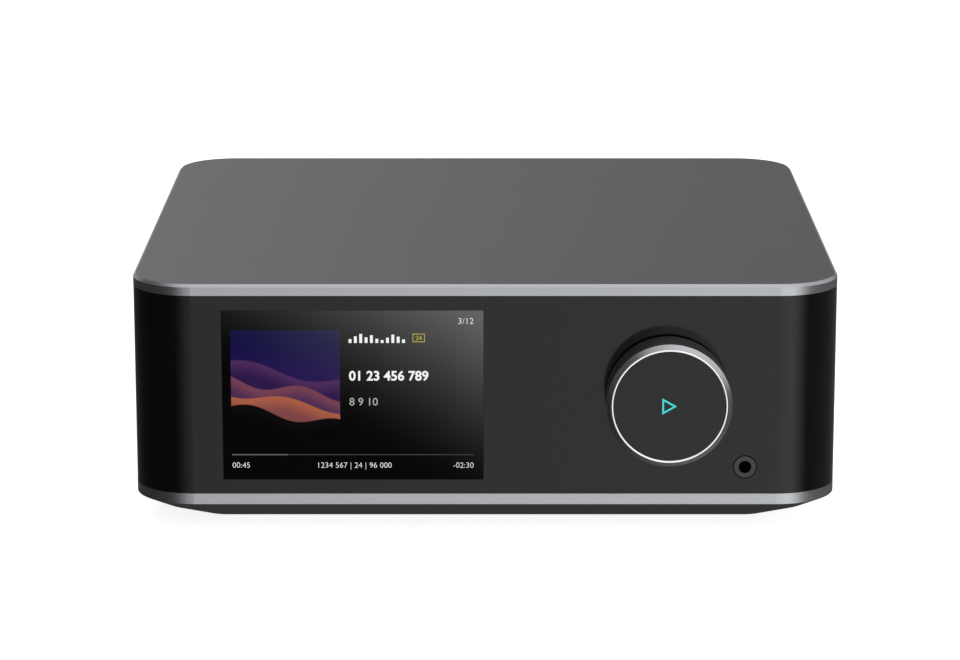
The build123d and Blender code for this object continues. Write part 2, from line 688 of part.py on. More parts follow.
# Parts on the boards, row by row
main_board_width = main_board_right - main_board_left
board_parts = {
    "shield_cans": [(SHIELD_CANS, SHIELD_CAN_SHARES, main_board_left, main_board_width)],
    "circuit_chips": [(CIRCUIT_CHIPS, CIRCUIT_CHIP_SHARES, main_board_left, main_board_width)],
    "film_capacitors": [
        (FILM_CAPACITORS, FILM_CAPACITOR_SHARES, main_board_left, main_board_width),
        (POWER_CAPACITORS, POWER_CAPACITOR_SHARES, power_board_left, POWER_BOARD_WIDTH),
    ],
}
for node, groups in board_parts.items():
    with BuildPart() as pieces:
        for rows, shares, left, width_of_board in groups:
            for (width, depth, height, inset), row_shares in zip(rows, shares):
                for share in row_shares:
                    place = (left + share * width_of_board, rear - inset)
                    add(block(place, (width, depth, height), board_top))
    keep(pieces.part, node)

# Ribbons from the display and the control board to their sockets at the front of the main board
ribbon_y = main_board_front + RIBBON_SOCKET_SETBACK
ribbons = (
    (display_x, DISPLAY_RIBBON_WIDTH, ribbon_level, plate_front),
    (knob_x + CONTROL_RIBBON_OFFSET, CONTROL_RIBBON_WIDTH, control_z - CONTROL_RIBBON_DROP, control_back),
)
with BuildPart() as ribbon_sockets:
    for x, width, level, start in ribbons:
        place = (x, ribbon_y + RIBBON_SOCKET_DEPTH / 2)
        add(block(place, (width + RIBBON_ENTRY, RIBBON_SOCKET_DEPTH, RIBBON_SOCKET_HEIGHT), board_top))
keep(ribbon_sockets.part, "board_sockets")
ribbon_low = board_top + RIBBON_ENTRY
with BuildPart() as flat_cables:
    for x, width, level, start in ribbons:
        run = ribbon_y - start
        with BuildLine(Plane.YZ.offset(x)) as route:
            FilletPolyline(
                (start, level),
                (start + run * RIBBON_DROP_SHARES[0], level),
                (start + run * RIBBON_DROP_SHARES[1], ribbon_low),
                (ribbon_y, ribbon_low),
                radius=RIBBON_BEND,
            )
        with BuildSketch(Plane(origin=(x, start, level), x_dir=(1, 0, 0), z_dir=(0, 1, 0))):
            Rectangle(width, RIBBON_THICKNESS)
        sweep(path=route.line)
keep(flat_cables.part, "ribbon_cables")

# Parts on the power board
width, depth, height = TRANSFORMER_SIZE
place = (power_board_x, rear - TRANSFORMER_INSET)
with BuildPart() as transformer:
    add(block(place, (width, depth * TRANSFORMER_CORE_SHARE, height), board_top))
    add(block(place, (width * TRANSFORMER_CORE_SHARE, depth, height), board_top))
keep(transformer.part, "transformer")
fin_pitch = (HEAT_SINK_WIDTH - HEAT_SINK_FIN_WIDTH) / (HEAT_SINK_FIN_COUNT - 1)
heat_sink_y = rear - HEAT_SINK_INSET
with BuildPart() as heat_sink:
    with BuildSketch(Plane.XY.offset(board_top)):
        with Locations((power_board_x, heat_sink_y)):
            Rectangle(HEAT_SINK_WIDTH, HEAT_SINK_BACK)
        with Locations((power_board_x, heat_sink_y - (HEAT_SINK_BACK + HEAT_SINK_FIN) / 2)):
            with GridLocations(fin_pitch, 0, HEAT_SINK_FIN_COUNT, 1):
                Rectangle(HEAT_SINK_FIN_WIDTH, HEAT_SINK_FIN)
    extrude(amount=HEAT_SINK_HEIGHT)
keep(heat_sink.part, "heat_sink")

antenna_places = ((knob_x - ANTENNA_OFFSET, ribbon_level), (tab_xs[0], frame_top - ANTENNA_INSET))
with BuildPart() as antennas:
    for place, (width, height) in zip(antenna_places, ANTENNAS):
        with BuildSketch(upright(plate_back + ANTENNA_THICKNESS)):
            with Locations(place):
                Rectangle(width, height)
        extrude(amount=ANTENNA_THICKNESS)
keep(antennas.part, "antennas")

# Rear sockets. Each stands on its board and reaches through its own cut in the panel.
socket_face = panel_face + SOCKET_PROUD
phono_columns = ("phono_in", "line_out")
phono_spacing = (panel_top - board_top) * PHONO_SPACING_SHARE
phono_block_height = phono_spacing * 2
phono_levels = (board_top + phono_spacing / 2, board_top + phono_spacing * 3 / 2)
phono_places = [(socket_x[column], level) for column in phono_columns for level in phono_levels]
shell_end = panel_face + PHONO_SHELL_REACH
core_end = shell_end - PHONO_CORE_RECESS
with BuildPart() as phono_blocks:
    for column in phono_columns:
        place = (socket_x[column], socket_face - PHONO_BLOCK_DEPTH / 2)
        size = (socket_widths[column], PHONO_BLOCK_DEPTH, phono_block_height)
        add(block(place, size, board_top))
    with BuildSketch(upright(socket_face)):
        with Locations(*phono_places):
            Circle(PHONO_CONTACT_BORE)
    extrude(amount=PHONO_BLOCK_BORE_DEPTH, mode=Mode.SUBTRACT)
keep(phono_blocks.part, "phono_blocks")
phono_bore = PHONO_SHELL_RADIUS - PHONO_SHELL_WALL
with BuildPart() as phono_shells:
    for place in phono_places:
        add(rod(place, shell_end, socket_face, PHONO_SHELL_RADIUS, phono_bore))
keep(phono_shells.part, "phono_shells")
coloured = {
    "phono_inserts_white": [place for place in phono_places if place[1] == phono_levels[1]],
    "phono_inserts_red": [place for place in phono_places if place[1] == phono_levels[0]],
}
for node, places in coloured.items():
    with BuildPart() as inserts:
        for place in places:
            add(rod(place, core_end, socket_face, phono_bore - RADIAL_GAP, PHONO_CONTACT_BORE))
    keep(inserts.part, node)

# Optical sockets: a square cavity closed by a flap that hangs from its top edge and swings inward
optical_face = panel_face + OPTICAL_PROUD
optical_z = board_top + OPTICAL_HEIGHT / 2
cavity_top = optical_z + OPTICAL_CAVITY / 2
hinge_y = optical_face - FLAP_SETBACK - FLAP_THICKNESS / 2
hinge_z = cavity_top - FLAP_HANG
flap_width = OPTICAL_CAVITY - FLAP_SIDE_GAP * 2
flap_drop = hinge_z - (optical_z - OPTICAL_CAVITY / 2) - FLAP_SIDE_GAP
optical_places = [(socket_x[socket], optical_z) for socket in ("optical_in", "optical_out")]
with BuildPart() as optical:
    with BuildSketch(upright(optical_face)):
        with Locations(*optical_places):
            Rectangle(OPTICAL_WIDTH, OPTICAL_HEIGHT)
    extrude(amount=OPTICAL_DEPTH)
    with BuildSketch(upright(optical_face)):
        with Locations(*optical_places):
            Rectangle(OPTICAL_CAVITY, OPTICAL_CAVITY)
    extrude(amount=OPTICAL_CAVITY_DEPTH, mode=Mode.SUBTRACT)
keep(optical.part, "optical_sockets")
for socket in ("optical_in", "optical_out"):
    x = socket_x[socket]
    with BuildPart() as flap:
        with BuildSketch(Plane.YZ.offset(x)):
            with Locations((hinge_y, hinge_z)):
                Circle(FLAP_THICKNESS / 2)
            with Locations((hinge_y, hinge_z - flap_drop / 2)):
                Rectangle(FLAP_THICKNESS, flap_drop)
        extrude(amount=flap_width / 2, both=True)
    keep(flap.part, socket + "_flap")

# Trigger jack
trigger = (socket_x["trigger"], board_top + TRIGGER_HEIGHT / 2)
with BuildPart() as trigger_jack:
    with BuildSketch(upright(socket_face)):
        with Locations(trigger):
            Rectangle(TRIGGER_WIDTH, TRIGGER_HEIGHT)
    extrude(amount=TRIGGER_DEPTH)
    with BuildSketch(upright(socket_face)):
        with Locations(trigger):
            Circle(PLUG_BORE_RADIUS)
    extrude(amount=TRIGGER_BORE_DEPTH, mode=Mode.SUBTRACT)
keep(trigger_jack.part, "trigger_jack")

# HDMI type socket: a slot with bevelled lower corners
hdmi = (socket_x["hdmi"], board_top + HDMI_HEIGHT / 2)
slot_half = HDMI_CAVITY_WIDTH / 2
slot_rise = HDMI_CAVITY_HEIGHT / 2
with BuildPart() as hdmi_socket:
    with BuildSketch(upright(socket_face)):
        with Locations(hdmi):
            Rectangle(HDMI_WIDTH, HDMI_HEIGHT)
    extrude(amount=HDMI_DEPTH)
    with BuildSketch(upright(socket_face)):
        with BuildLine():
            Polyline(
                (hdmi[0] - slot_half, hdmi[1] + slot_rise),
                (hdmi[0] + slot_half, hdmi[1] + slot_rise),
                (hdmi[0] + slot_half, hdmi[1]),
                (hdmi[0] + slot_half - HDMI_CAVITY_BEVEL, hdmi[1] - slot_rise),
                (hdmi[0] - slot_half + HDMI_CAVITY_BEVEL, hdmi[1] - slot_rise),
                (hdmi[0] - slot_half, hdmi[1]),
                close=True,
            )
        make_face()
    extrude(amount=HDMI_CAVITY_DEPTH, mode=Mode.SUBTRACT)
keep(hdmi_socket.part, "hdmi_socket")

# Network socket: a stepped opening with a latch notch below
network_floor = board_top + NETWORK_FLOOR
network = (socket_x["network"], board_top + NETWORK_HEIGHT / 2)
network_roof = network_floor + NETWORK_CAVITY_HEIGHT
with BuildPart() as network_socket:
    with BuildSketch(upright(socket_face)):
        with Locations(network):
            Rectangle(NETWORK_WIDTH, NETWORK_HEIGHT)
    extrude(amount=NETWORK_DEPTH)
    with BuildSketch(upright(socket_face)):
        with Locations((network[0], network_floor + NETWORK_CAVITY_HEIGHT / 2)):
            Rectangle(NETWORK_CAVITY_WIDTH, NETWORK_CAVITY_HEIGHT)
        with Locations((network[0], network_floor - NETWORK_LATCH_HEIGHT / 2)):
            Rectangle(NETWORK_LATCH_WIDTH, NETWORK_LATCH_HEIGHT)
    extrude(amount=NETWORK_CAVITY_DEPTH, mode=Mode.SUBTRACT)
keep(network_socket.part, "network_socket")
contact_front = socket_face - NETWORK_CONTACT_SETBACK
with BuildPart() as network_contacts:
    with BuildSketch(Plane.YZ.offset(network[0])):
        with BuildLine():
            Polyline(
                (contact_front, network_roof),
                (contact_front - NETWORK_CONTACT_LENGTH, network_roof),
                (contact_front - NETWORK_CONTACT_LENGTH, network_roof - NETWORK_CONTACT_DROP),
                close=True,
            )
        make_face()
    extrude(amount=NETWORK_CONTACT_WIDTH / 2, both=True)
spread = NETWORK_CONTACT_PITCH * (NETWORK_CONTACT_COUNT - 1)
with BuildPart() as contact_row:
    with GridLocations(NETWORK_CONTACT_PITCH, 0, NETWORK_CONTACT_COUNT, 1):
        add(network_contacts.part)
keep(contact_row.part, "network_contacts")

# USB type socket
usb = (socket_x["usb"], board_top + USB_HEIGHT / 2)
with BuildPart() as usb_socket:
    with BuildSketch(upright(socket_face)):
        with Locations(usb):
            Rectangle(USB_WIDTH, USB_HEIGHT)
    extrude(amount=USB_DEPTH)
    with BuildSketch(upright(socket_face)):
        with Locations(usb):
            Rectangle(USB_CAVITY_WIDTH, USB_CAVITY_HEIGHT)
    extrude(amount=USB_CAVITY_DEPTH, mode=Mode.SUBTRACT)
keep(usb_socket.part, "usb_socket")

# Plastic tongues inside the HDMI and USB sockets, standing on the back of each cavity
with BuildPart() as tongues:
    with BuildSketch(upright(socket_face - HDMI_CAVITY_DEPTH + HDMI_TONGUE_LENGTH)):
        with Locations(hdmi):
            Rectangle(HDMI_TONGUE_WIDTH, HDMI_TONGUE_HEIGHT)
    extrude(amount=HDMI_TONGUE_LENGTH)
    with BuildSketch(upright(socket_face - USB_CAVITY_DEPTH + USB_TONGUE_LENGTH)):
        with Locations((usb[0], usb[1] + USB_TONGUE_RISE + USB_TONGUE_HEIGHT / 2)):
            Rectangle(USB_TONGUE_WIDTH, USB_TONGUE_HEIGHT)
    extrude(amount=USB_TONGUE_LENGTH)
keep(tongues.part, "socket_tongues")

# Mains inlet for a two-pin figure of eight plug
inlet_face = panel_face + INLET_PROUD
inlet = (socket_x["inlet"], board_top + INLET_HEIGHT / 2)
with BuildPart() as mains_inlet:
    with BuildSketch(upright(inlet_face)):
        with Locations(inlet):
            Rectangle(INLET_WIDTH, INLET_HEIGHT)
    extrude(amount=INLET_DEPTH)
    with BuildSketch(upright(inlet_face)):
        with Locations(inlet):
            SlotCenterToCenter(INLET_PIN_SPACING, INLET_CAVITY_HEIGHT)
    extrude(amount=INLET_CAVITY_DEPTH, mode=Mode.SUBTRACT)
keep(mains_inlet.part, "mains_inlet")
with BuildPart() as inlet_pins:
    with BuildSketch(upright(inlet_face - INLET_CAVITY_DEPTH + INLET_PIN_LENGTH)):
        with Locations(inlet):
            with GridLocations(INLET_PIN_SPACING, 0, 2, 1):
                Circle(INLET_PIN_RADIUS)
    extrude(amount=INLET_PIN_LENGTH)
keep(inlet_pins.part, "inlet_pins")

# Rear panel in its pocket, with a cut of its own for every socket
ground = (socket_x["phono_in"], (panel_top + board_top + phono_block_height) / 2)
cut_sizes = {
    hdmi: (HDMI_WIDTH, HDMI_HEIGHT),
    network: (NETWORK_WIDTH, NETWORK_HEIGHT),
    usb: (USB_WIDTH, USB_HEIGHT),
    inlet: (INLET_WIDTH, INLET_HEIGHT),
    trigger: (TRIGGER_WIDTH, TRIGGER_HEIGHT),
}
cut_sizes.update({place: (OPTICAL_WIDTH, OPTICAL_HEIGHT) for place in optical_places})
for column in phono_columns:
    centre = (socket_x[column], board_top + phono_block_height / 2)
    cut_sizes[centre] = (PHONO_COLUMN_WIDTH, phono_block_height)
with BuildPart() as panel:
    with BuildSketch(upright(panel_face)):
        with Locations((0, panel_z)):
            RectangleRounded(panel_width, panel_height, PANEL_CORNER_RADIUS)
        for place, (width, height) in cut_sizes.items():
            with Locations(place):
                Rectangle(width + PANEL_CUT_GAP * 2, height + PANEL_CUT_GAP * 2, mode=Mode.SUBTRACT)
        with Locations(ground):
            Circle(GROUND_STUD_RADIUS + RADIAL_GAP, mode=Mode.SUBTRACT)
    extrude(amount=PANEL_THICKNESS)
keep(panel.part, "rear_panel")

# Ground post: a stud through the panel, a washer and a thumb nut that unscrews
hex_face = panel_face + GROUND_HEX_THICKNESS
washer_face = hex_face + GROUND_WASHER_THICKNESS
nut_face = washer_face + GROUND_NUT_LENGTH
with BuildPart() as ground_post:
    with BuildSketch(upright(panel_face + GROUND_STUD_REACH)):
        with Locations(ground):
            Circle(GROUND_STUD_RADIUS)
    extrude(amount=GROUND_STUD_REACH + PANEL_THICKNESS)
    with BuildSketch(upright(hex_face)):
        with Locations(ground):
            RegularPolygon(GROUND_HEX_FLATS / 2, 6, major_radius=False)
    extrude(amount=GROUND_HEX_THICKNESS)
keep(ground_post.part, "ground_post")
stud_fit = GROUND_STUD_RADIUS + RUNNING_CLEARANCE
keep(rod(ground, washer_face, hex_face, GROUND_WASHER_RADIUS, stud_fit), "ground_washer")
keep(rod(ground, nut_face, washer_face, GROUND_NUT_RADIUS, stud_fit), "ground_nut")
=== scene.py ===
import json
import logging
import math
from dataclasses import dataclass
from enum import Enum

import bpy
from bpy.types import Material, Node, NodeSocket, NodeTree, Object
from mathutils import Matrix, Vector

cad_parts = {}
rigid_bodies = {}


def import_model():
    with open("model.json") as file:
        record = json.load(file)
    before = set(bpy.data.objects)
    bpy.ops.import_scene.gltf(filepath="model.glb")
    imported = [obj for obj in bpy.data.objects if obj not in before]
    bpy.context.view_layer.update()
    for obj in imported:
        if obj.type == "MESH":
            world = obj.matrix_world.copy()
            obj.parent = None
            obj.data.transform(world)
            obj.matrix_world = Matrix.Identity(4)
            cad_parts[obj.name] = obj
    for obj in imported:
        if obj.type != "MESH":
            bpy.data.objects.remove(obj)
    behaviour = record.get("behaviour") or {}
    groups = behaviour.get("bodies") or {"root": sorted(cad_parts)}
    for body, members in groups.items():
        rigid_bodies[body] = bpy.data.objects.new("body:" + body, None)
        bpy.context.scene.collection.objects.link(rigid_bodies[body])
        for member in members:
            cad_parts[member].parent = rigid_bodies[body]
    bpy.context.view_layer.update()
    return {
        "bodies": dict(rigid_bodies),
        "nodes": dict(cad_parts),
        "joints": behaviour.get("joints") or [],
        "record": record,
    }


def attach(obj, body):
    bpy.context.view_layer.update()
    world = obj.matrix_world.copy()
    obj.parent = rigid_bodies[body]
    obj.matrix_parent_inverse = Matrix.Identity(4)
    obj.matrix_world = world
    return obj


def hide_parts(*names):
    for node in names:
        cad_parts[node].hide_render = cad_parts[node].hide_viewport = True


# A desktop network music streamer. The frame gives the solids. This script gives them their finishes, builds
# the pieces that are finer than the solids, and sets the studio, the light and the camera. Sizes are in
# millimetres, and helpers turn them to metres.
LOG = logging.getLogger("streamer")
MM = 0.001
FASCIA_FACE = -96.25
PANEL_FACE = 96.05
SOCKET_FACE = 96.55
KNOB_AXIS = (51.25, FASCIA_FACE, 41.1)
JACK_AXIS = (73.4, FASCIA_FACE, 20.25)
GROUND_AXIS = (70.87, 98.85, 58.782)
SCREEN_CORNER = (-74.0, FASCIA_FACE, 16.6)
MERGE_GAP = 0.002
BEVEL_SEGMENTS = 3
# The least cosine between a face's normal and the way that it looks
FACING_LIMIT = 0.99
# A figure of the built-in face stands this share of the face's size
FIGURE_SHARE = 0.69
GRAIN_DETAIL = 2.0
PIT_DETAIL = 4.0
MOTTLE_DETAIL = 3.0
# A brushed grain's scale along its scratches, as a share of its scale across them
BRUSHED_STRETCH = 0.02
# A wave texture's length at a scale of 1
WAVE_LENGTH = math.pi / 10
SCREEN_GAMMA = 2.2

Point = tuple[float, float, float]
Spot = tuple[float, float]


def linear(colour: str) -> tuple[float, float, float, float]:
    """Turns an sRGB hex colour to the linear values that the shaders take.

    Args:
        colour: A colour such as "#6e6f71".

    Returns:
        Red, green, blue and an alpha of 1.
    """
    channels = [int(colour[start:start + 2], 16) / 255 for start in (1, 3, 5)]
    return (*(c / 12.92 if c <= 0.04045 else ((c + 0.055) / 1.055) ** 2.4 for c in channels), 1.0)


def wire(tree: NodeTree, kind: str, *inputs: object, sockets: dict | None = None,
         **settings: object) -> Node:
    """Adds one node to a tree, with its settings and links.

    Args:
        tree: The tree that gets the node.
        kind: The node's type, without its leading ShaderNode.
        inputs: What feeds the first inputs in order: a value, a socket, or a node for its first output.
        sockets: The same for inputs by their name or number.
        settings: The node's own properties.

    Returns:
        The new node.
    """
    made = tree.nodes.new("ShaderNode" + kind)
    for name, value in settings.items():
        setattr(made, name, value)
    for key, value in (*enumerate(inputs), *(sockets or {}).items()):
        if isinstance(value, Node):
            value = next(output for output in value.outputs if output.enabled)
        if isinstance(value, NodeSocket):
            tree.links.new(value, made.inputs[key])
        else:
            made.inputs[key].default_value = value
    return made


class Grain(Enum):
    """The relief that a way of making leaves on a surface."""

    BLASTED = "fine even pits, as glass beads leave before anodising, or as spray paint dries"
    BRUSHED = "long fine scratches along the width"
    TURNED = "fine rings about the piece's own axis"
    MOULDED = "the soft unevenness of a mould's wall"
    WOVEN = "glass cloth under solder mask"


class Axis(Enum):
    """An axis of the frame, with its number."""

    X = 0
    Y = 1
    Z = 2


@dataclass(frozen=True)
class Finish:
    """One real material and how its surface was made."""

    name: str
    colour: str
    shade: str
    metallic: float = 0.0
    roughness: float = 0.5
    spread: float = 0.05
    grain: Grain = Grain.MOULDED
    grain_size: float = 0.3
    relief: float = 0.01
    mottle_size: float = 15.0
    ior: float = 1.5
    specular: float = 0.5
    axis: Point = (0.0, 0.0, 0.0)

    def place(self, tree: NodeTree) -> Node:
        """Gives the point on the piece, in metres from the axis that the finish is centred on."""
        point = wire(tree, "TexCoord").outputs["Object"]
        return wire(tree, "VectorMath", point, Vector(self.axis) * MM, operation="SUBTRACT")

    def height(self, tree: NodeTree, point: Node) -> Node:
        """Draws the grain as a height between 0 and 1.

        Args:
            tree: The material's nodes.
            point: The point on the piece.

        Returns:
            The node whose first output is the height.
        """
        scale = 1 / (self.grain_size * MM)
        if self.grain is Grain.TURNED:
            flat = wire(tree, "VectorMath", point, (1.0, 0.0, 1.0), operation="MULTIPLY")
            radius = wire(tree, "VectorMath", flat, operation="LENGTH")
            return wire(tree, "TexNoise", sockets={"W": radius, "Scale": scale, "Detail": GRAIN_DETAIL},
                        noise_dimensions="1D")
        if self.grain is Grain.WOVEN:
            threads = [wire(tree, "TexWave", point, scale * WAVE_LENGTH, bands_direction=way) for way in "XY"]
            return wire(tree, "Math", *(thread.outputs["Fac"] for thread in threads), operation="MULTIPLY")
        stretch = (BRUSHED_STRETCH, 1.0, 1.0) if self.grain is Grain.BRUSHED else (1.0, 1.0, 1.0)
        spread = wire(tree, "VectorMath", point, stretch, operation="MULTIPLY")
        detail = PIT_DETAIL if self.grain is Grain.BLASTED else GRAIN_DETAIL
        return wire(tree, "TexNoise", spread, sockets={"Scale": scale, "Detail": detail})

    def paint(self, tree: NodeTree, point: Node) -> Node:
        """Varies the colour gently over the surface, as an even real finish still does.

        Args:
            tree: The material's nodes.
            point: The point on the piece.

        Returns:
            The node that gives the colour.
        """
        scale = 1 / (self.mottle_size * MM)
        cloud = wire(tree, "TexNoise", point, sockets={"Scale": scale, "Detail": MOTTLE_DETAIL})
        colours = {6: linear(self.colour), 7: linear(self.shade)}
        return wire(tree, "Mix", cloud, sockets=colours, data_type="RGBA")

    def light_up(self, tree: NodeTree, shader: Node, point: Node) -> None:
        """Adds what the material gives off by itself, which is nothing here."""

    def build(self) -> Material:
        """Builds the material, or gives back the one that is built already.

        Returns:
            The material, named for what the real one is.
        """
        if self.name in bpy.data.materials:
            return bpy.data.materials[self.name]
        material = bpy.data.materials.new(self.name)
        material.use_nodes = True
        tree = material.node_tree
        tree.nodes.clear()
        point = self.place(tree)
        height = self.height(tree, point)
        low, high = self.roughness - self.spread, self.roughness + self.spread
        shader = wire(tree, "BsdfPrincipled", sockets={
            "Base Color": self.paint(tree, point), "Metallic": self.metallic, "IOR": self.ior,
            "Roughness": wire(tree, "MapRange", height, sockets={"To Min": low, "To Max": high}),
            "Specular IOR Level": self.specular,
            "Normal": wire(tree, "Bump", sockets={"Height": height, "Distance": self.relief * MM})})
        self.light_up(tree, shader, point)
        wire(tree, "OutputMaterial", shader)
        return material


@dataclass(frozen=True)
class Lit(Finish):
    """A finish that gives off light of its own colour, such as a symbol with a lamp behind it."""

    light: str = "#ffffff"
    strength: float = 1.0

    def light_up(self, tree: NodeTree, shader: Node, point: Node) -> None:
        """Gives the surface its own even light."""
        shader.inputs["Emission Color"].default_value = linear(self.light)
        shader.inputs["Emission Strength"].default_value = self.strength


@dataclass(frozen=True)
class ScreenGlass(Finish):
    """Coated glass over a lit screen, with a painted reflection on it that fades from grey at its top right
    to black.

    The painted reflection is in steps that look even to the eye: its level at the top left, what it gains
    across the screen and what it loses down it. The finish's axis is the screen's lower left corner.
    """

    width: float = 73.5
    rise: float = 49.0
    start: float = 0.11
    across_gain: float = 0.287
    down_loss: float = 0.333
    glass_depth: float = 0.05

    def painted_reflection(self, tree: NodeTree, point: Node) -> Node:
        """Draws the painted reflection's fade.

        Args:
            tree: The material's nodes.
            point: The point on the piece, from the screen's lower left corner.

        Returns:
            The node that gives the painted reflection's light as a colour.
        """
        x, y, z = wire(tree, "SeparateXYZ", point).outputs
        gain = self.across_gain / (self.width * MM)
        loss = self.down_loss / (self.rise * MM)
        # Painted reflection: a level that rises across the screen and falls down it, given off as light
        shade = wire(tree, "Math", x, gain, self.start - self.down_loss, operation="MULTIPLY_ADD")
        shade = wire(tree, "Math", z, loss, shade, operation="MULTIPLY_ADD", use_clamp=True)
        light = wire(tree, "Math", shade, SCREEN_GAMMA, operation="POWER")
        front = wire(tree, "Math", y, self.glass_depth * MM, operation="LESS_THAN")
        light = wire(tree, "Math", light, front, operation="MULTIPLY")
        return wire(tree, "CombineColor", light, light, light)

    def light_up(self, tree: NodeTree, shader: Node, point: Node) -> None:
        """Lights the screen with the painted reflection's fade."""
        tree.links.new(self.painted_reflection(tree, point).outputs[0], shader.inputs["Emission Color"])
        shader.inputs["Emission Strength"].default_value = 1.0


@dataclass(frozen=True)
class Swell:
    """One long wave of the cover picture, with its places and heights as shares of the picture."""

    crest_colour: str
    foot_colour: str
    level: float
    rise: float
    waves: float
    phase: float


@dataclass(frozen=True)
class CoverPicture(ScreenGlass):
    """A generic cover on the screen: slanting swells, indigo above, plum and rust between, black below."""

    corner: Spot = (2.6, 12.0)
    size: Spot = (30.6, 31.3)
    sky: tuple[str, str] = ("#24124e", "#08063e")
    sky_edge: Spot = (0.45, 1.0)
    slant: float = -0.16
    swell_fade: float = 0.16
    swell_edge: float = 0.012
    swells: tuple[Swell, ...] = (
        Swell("#4a2858", "#2c1648", 0.62, 0.050, 0.95, 0.6),
        Swell("#743f50", "#4a2b50", 0.47, 0.045, 1.35, 2.4),
        Swell("#a85c42", "#7c4444", 0.35, 0.040, 1.10, 4.4),
        Swell("#080507", "#010101", 0.22, 0.045, 1.25, 0.2),
    )

    def light_up(self, tree: NodeTree, shader: Node, point: Node) -> None:
        """Draws each swell over the ones behind it, paler at its crest, and the screen's painted reflection
        over them all.

        Args:
            tree: The material's nodes.
            shader: The node that takes the picture's light.
            point: The point on the piece, from the screen's lower left corner.
        """
        x, _, z = wire(tree, "SeparateXYZ", point).outputs
        across, up = (wire(tree, "MapRange", value, low * MM, (low + size) * MM, clamp=False)
                      for value, low, size in zip((x, z), self.corner, self.size))
        high = wire(tree, "MapRange", up, *self.sky_edge, interpolation_type="SMOOTHSTEP")
        low_sky, high_sky = (linear(colour) for colour in self.sky)
        colour = wire(tree, "Mix", high, sockets={6: low_sky, 7: high_sky}, data_type="RGBA")
        for swell in self.swells:
            level = swell.level - self.slant / 2
            line = wire(tree, "Math", across, self.slant, level, operation="MULTIPLY_ADD")
            turned = wire(tree, "Math", across, swell.waves * math.tau, swell.phase, operation="MULTIPLY_ADD")
            wave = wire(tree, "Math", turned, operation="SINE")
            crest = wire(tree, "Math", wave, swell.rise, line, operation="MULTIPLY_ADD")
            depth = wire(tree, "Math", crest, up, operation="SUBTRACT")
            foot = wire(tree, "MapRange", depth, 0.0, self.swell_fade, interpolation_type="SMOOTHSTEP")
            body = wire(tree, "Mix", foot, data_type="RGBA",
                        sockets={6: linear(swell.crest_colour), 7: linear(swell.foot_colour)})
            inside = wire(tree, "MapRange", depth, 0.0, self.swell_edge, interpolation_type="SMOOTHSTEP")
            colour = wire(tree, "Mix", inside, sockets={6: colour, 7: body}, data_type="RGBA")
        # The painted reflection is added to the cover's light
        total = wire(tree, "VectorMath", colour, self.painted_reflection(tree, point), operation="ADD")
        tree.links.new(total.outputs[0], shader.inputs["Emission Color"])
        shader.inputs["Emission Strength"].default_value = 1.0


@dataclass(frozen=True)
class SolderMask(Finish):
    """Green solder mask, with the copper under it showing as paler runs."""

    copper: str = "#2f7a45"
    run_pitch: float = 2.4
    run_edge: Spot = (0.44, 0.49)

    def paint(self, tree: NodeTree, point: Node) -> Node:
        """Draws runs of copper between cells of bare board.

        Args:
            tree: The material's nodes.
            point: The point on the piece.

        Returns:
            The node that gives the colour.
        """
        scale = 1 / (self.run_pitch * MM)
        cells = wire(tree, "TexVoronoi", point, sockets={"Scale": scale}, distance="CHEBYCHEV")
        runs = wire(tree, "MapRange", cells, *self.run_edge, interpolation_type="SMOOTHSTEP")
        colours = {6: linear(self.colour), 7: linear(self.copper)}
        return wire(tree, "Mix", runs, sockets=colours, data_type="RGBA")


# After its name and two colours, a finish gives in order: metallic, roughness and its spread, the grain with
# its size and relief, the mottling's size, the index of refraction, the level of reflection and the axis.

# Aluminium, bead blasted and anodised: silky and even. Its pits are too fine to see one by one, so they are
# drawn coarser to show.
CASE = Finish("bead_blasted_anodised_aluminium", "#b2b4b7", "#afb1b4", 1.0, 0.34, 0.05, Grain.BLASTED, 0.35,
              0.004, 40.0)
# Steel with satin spray paint: dark, with a low soft sheen and the paint's own orange peel.
BASE = Finish("satin_painted_steel", "#191a1b", "#1c1d1d", 0.0, 0.42, 0.06, Grain.BLASTED, 0.4, 0.006, 25.0)
# Acrylic, moulded and polished: black and deep, almost a mirror, with the faintest waves.
GLOSS = Finish("polished_black_acrylic", "#030303", "#040404", 0.0, 0.09, 0.01, Grain.MOULDED, 9.0, 0.003,
               30.0, 1.49, 0.37)
# Glass with a coating against reflections: what shows is the lit screen behind it, under a painted reflection
# that fades from grey at the top right to black.
GLASS = ScreenGlass("coated_screen_glass_painted_reflection", "#020202", "#030303", 0.0, 0.12, 0.01, Grain.MOULDED, 6.0, 0.001,
                    30.0, 1.5, 0.02, SCREEN_CORNER)
# The same glass where the lit cover shows through it: colour with hardly a gloss over it, under the same
# painted reflection.
COVER = CoverPicture("lit_cover_with_painted_reflection", "#010101", "#020202", 0.0, 0.3, 0.01, Grain.MOULDED, 2.0, 0.0005,
                     15.0, 1.5, 0.02, SCREEN_CORNER)
# Lit pixels under coated glass: flat, even light with hardly a gloss of its own.
WHITE_PIXELS = Lit("lit_white_pixels", "#1a1a1a", "#181818", roughness=0.4, specular=0.1, light="#f4f4f4")
GREY_PIXELS = Lit("lit_grey_pixels", "#151515", "#141414", roughness=0.4, specular=0.1, light="#a8a8a8")
DIM_PIXELS = Lit("lit_dim_pixels", "#0e0e0e", "#0d0d0d", roughness=0.4, specular=0.1, light="#626262")
FAINT_PIXELS = Lit("lit_faint_pixels", "#0c0c0c", "#0b0b0b", roughness=0.4, specular=0.1, light="#343434")
OLIVE_PIXELS = Lit("lit_olive_pixels", "#15150c", "#14140b", roughness=0.4, specular=0.1, light="#a9a23c")
# Aluminium, turned on a lathe and anodised: a satin that streaks round the axis. Its rings are drawn coarser
# than the tool leaves them, so that they show.
KNOB_METAL = Finish("turned_anodised_aluminium", "#a9aaad", "#a6a7aa", 1.0, 0.30, 0.05, Grain.TURNED, 0.22,
                    0.003, 20.0, axis=KNOB_AXIS)
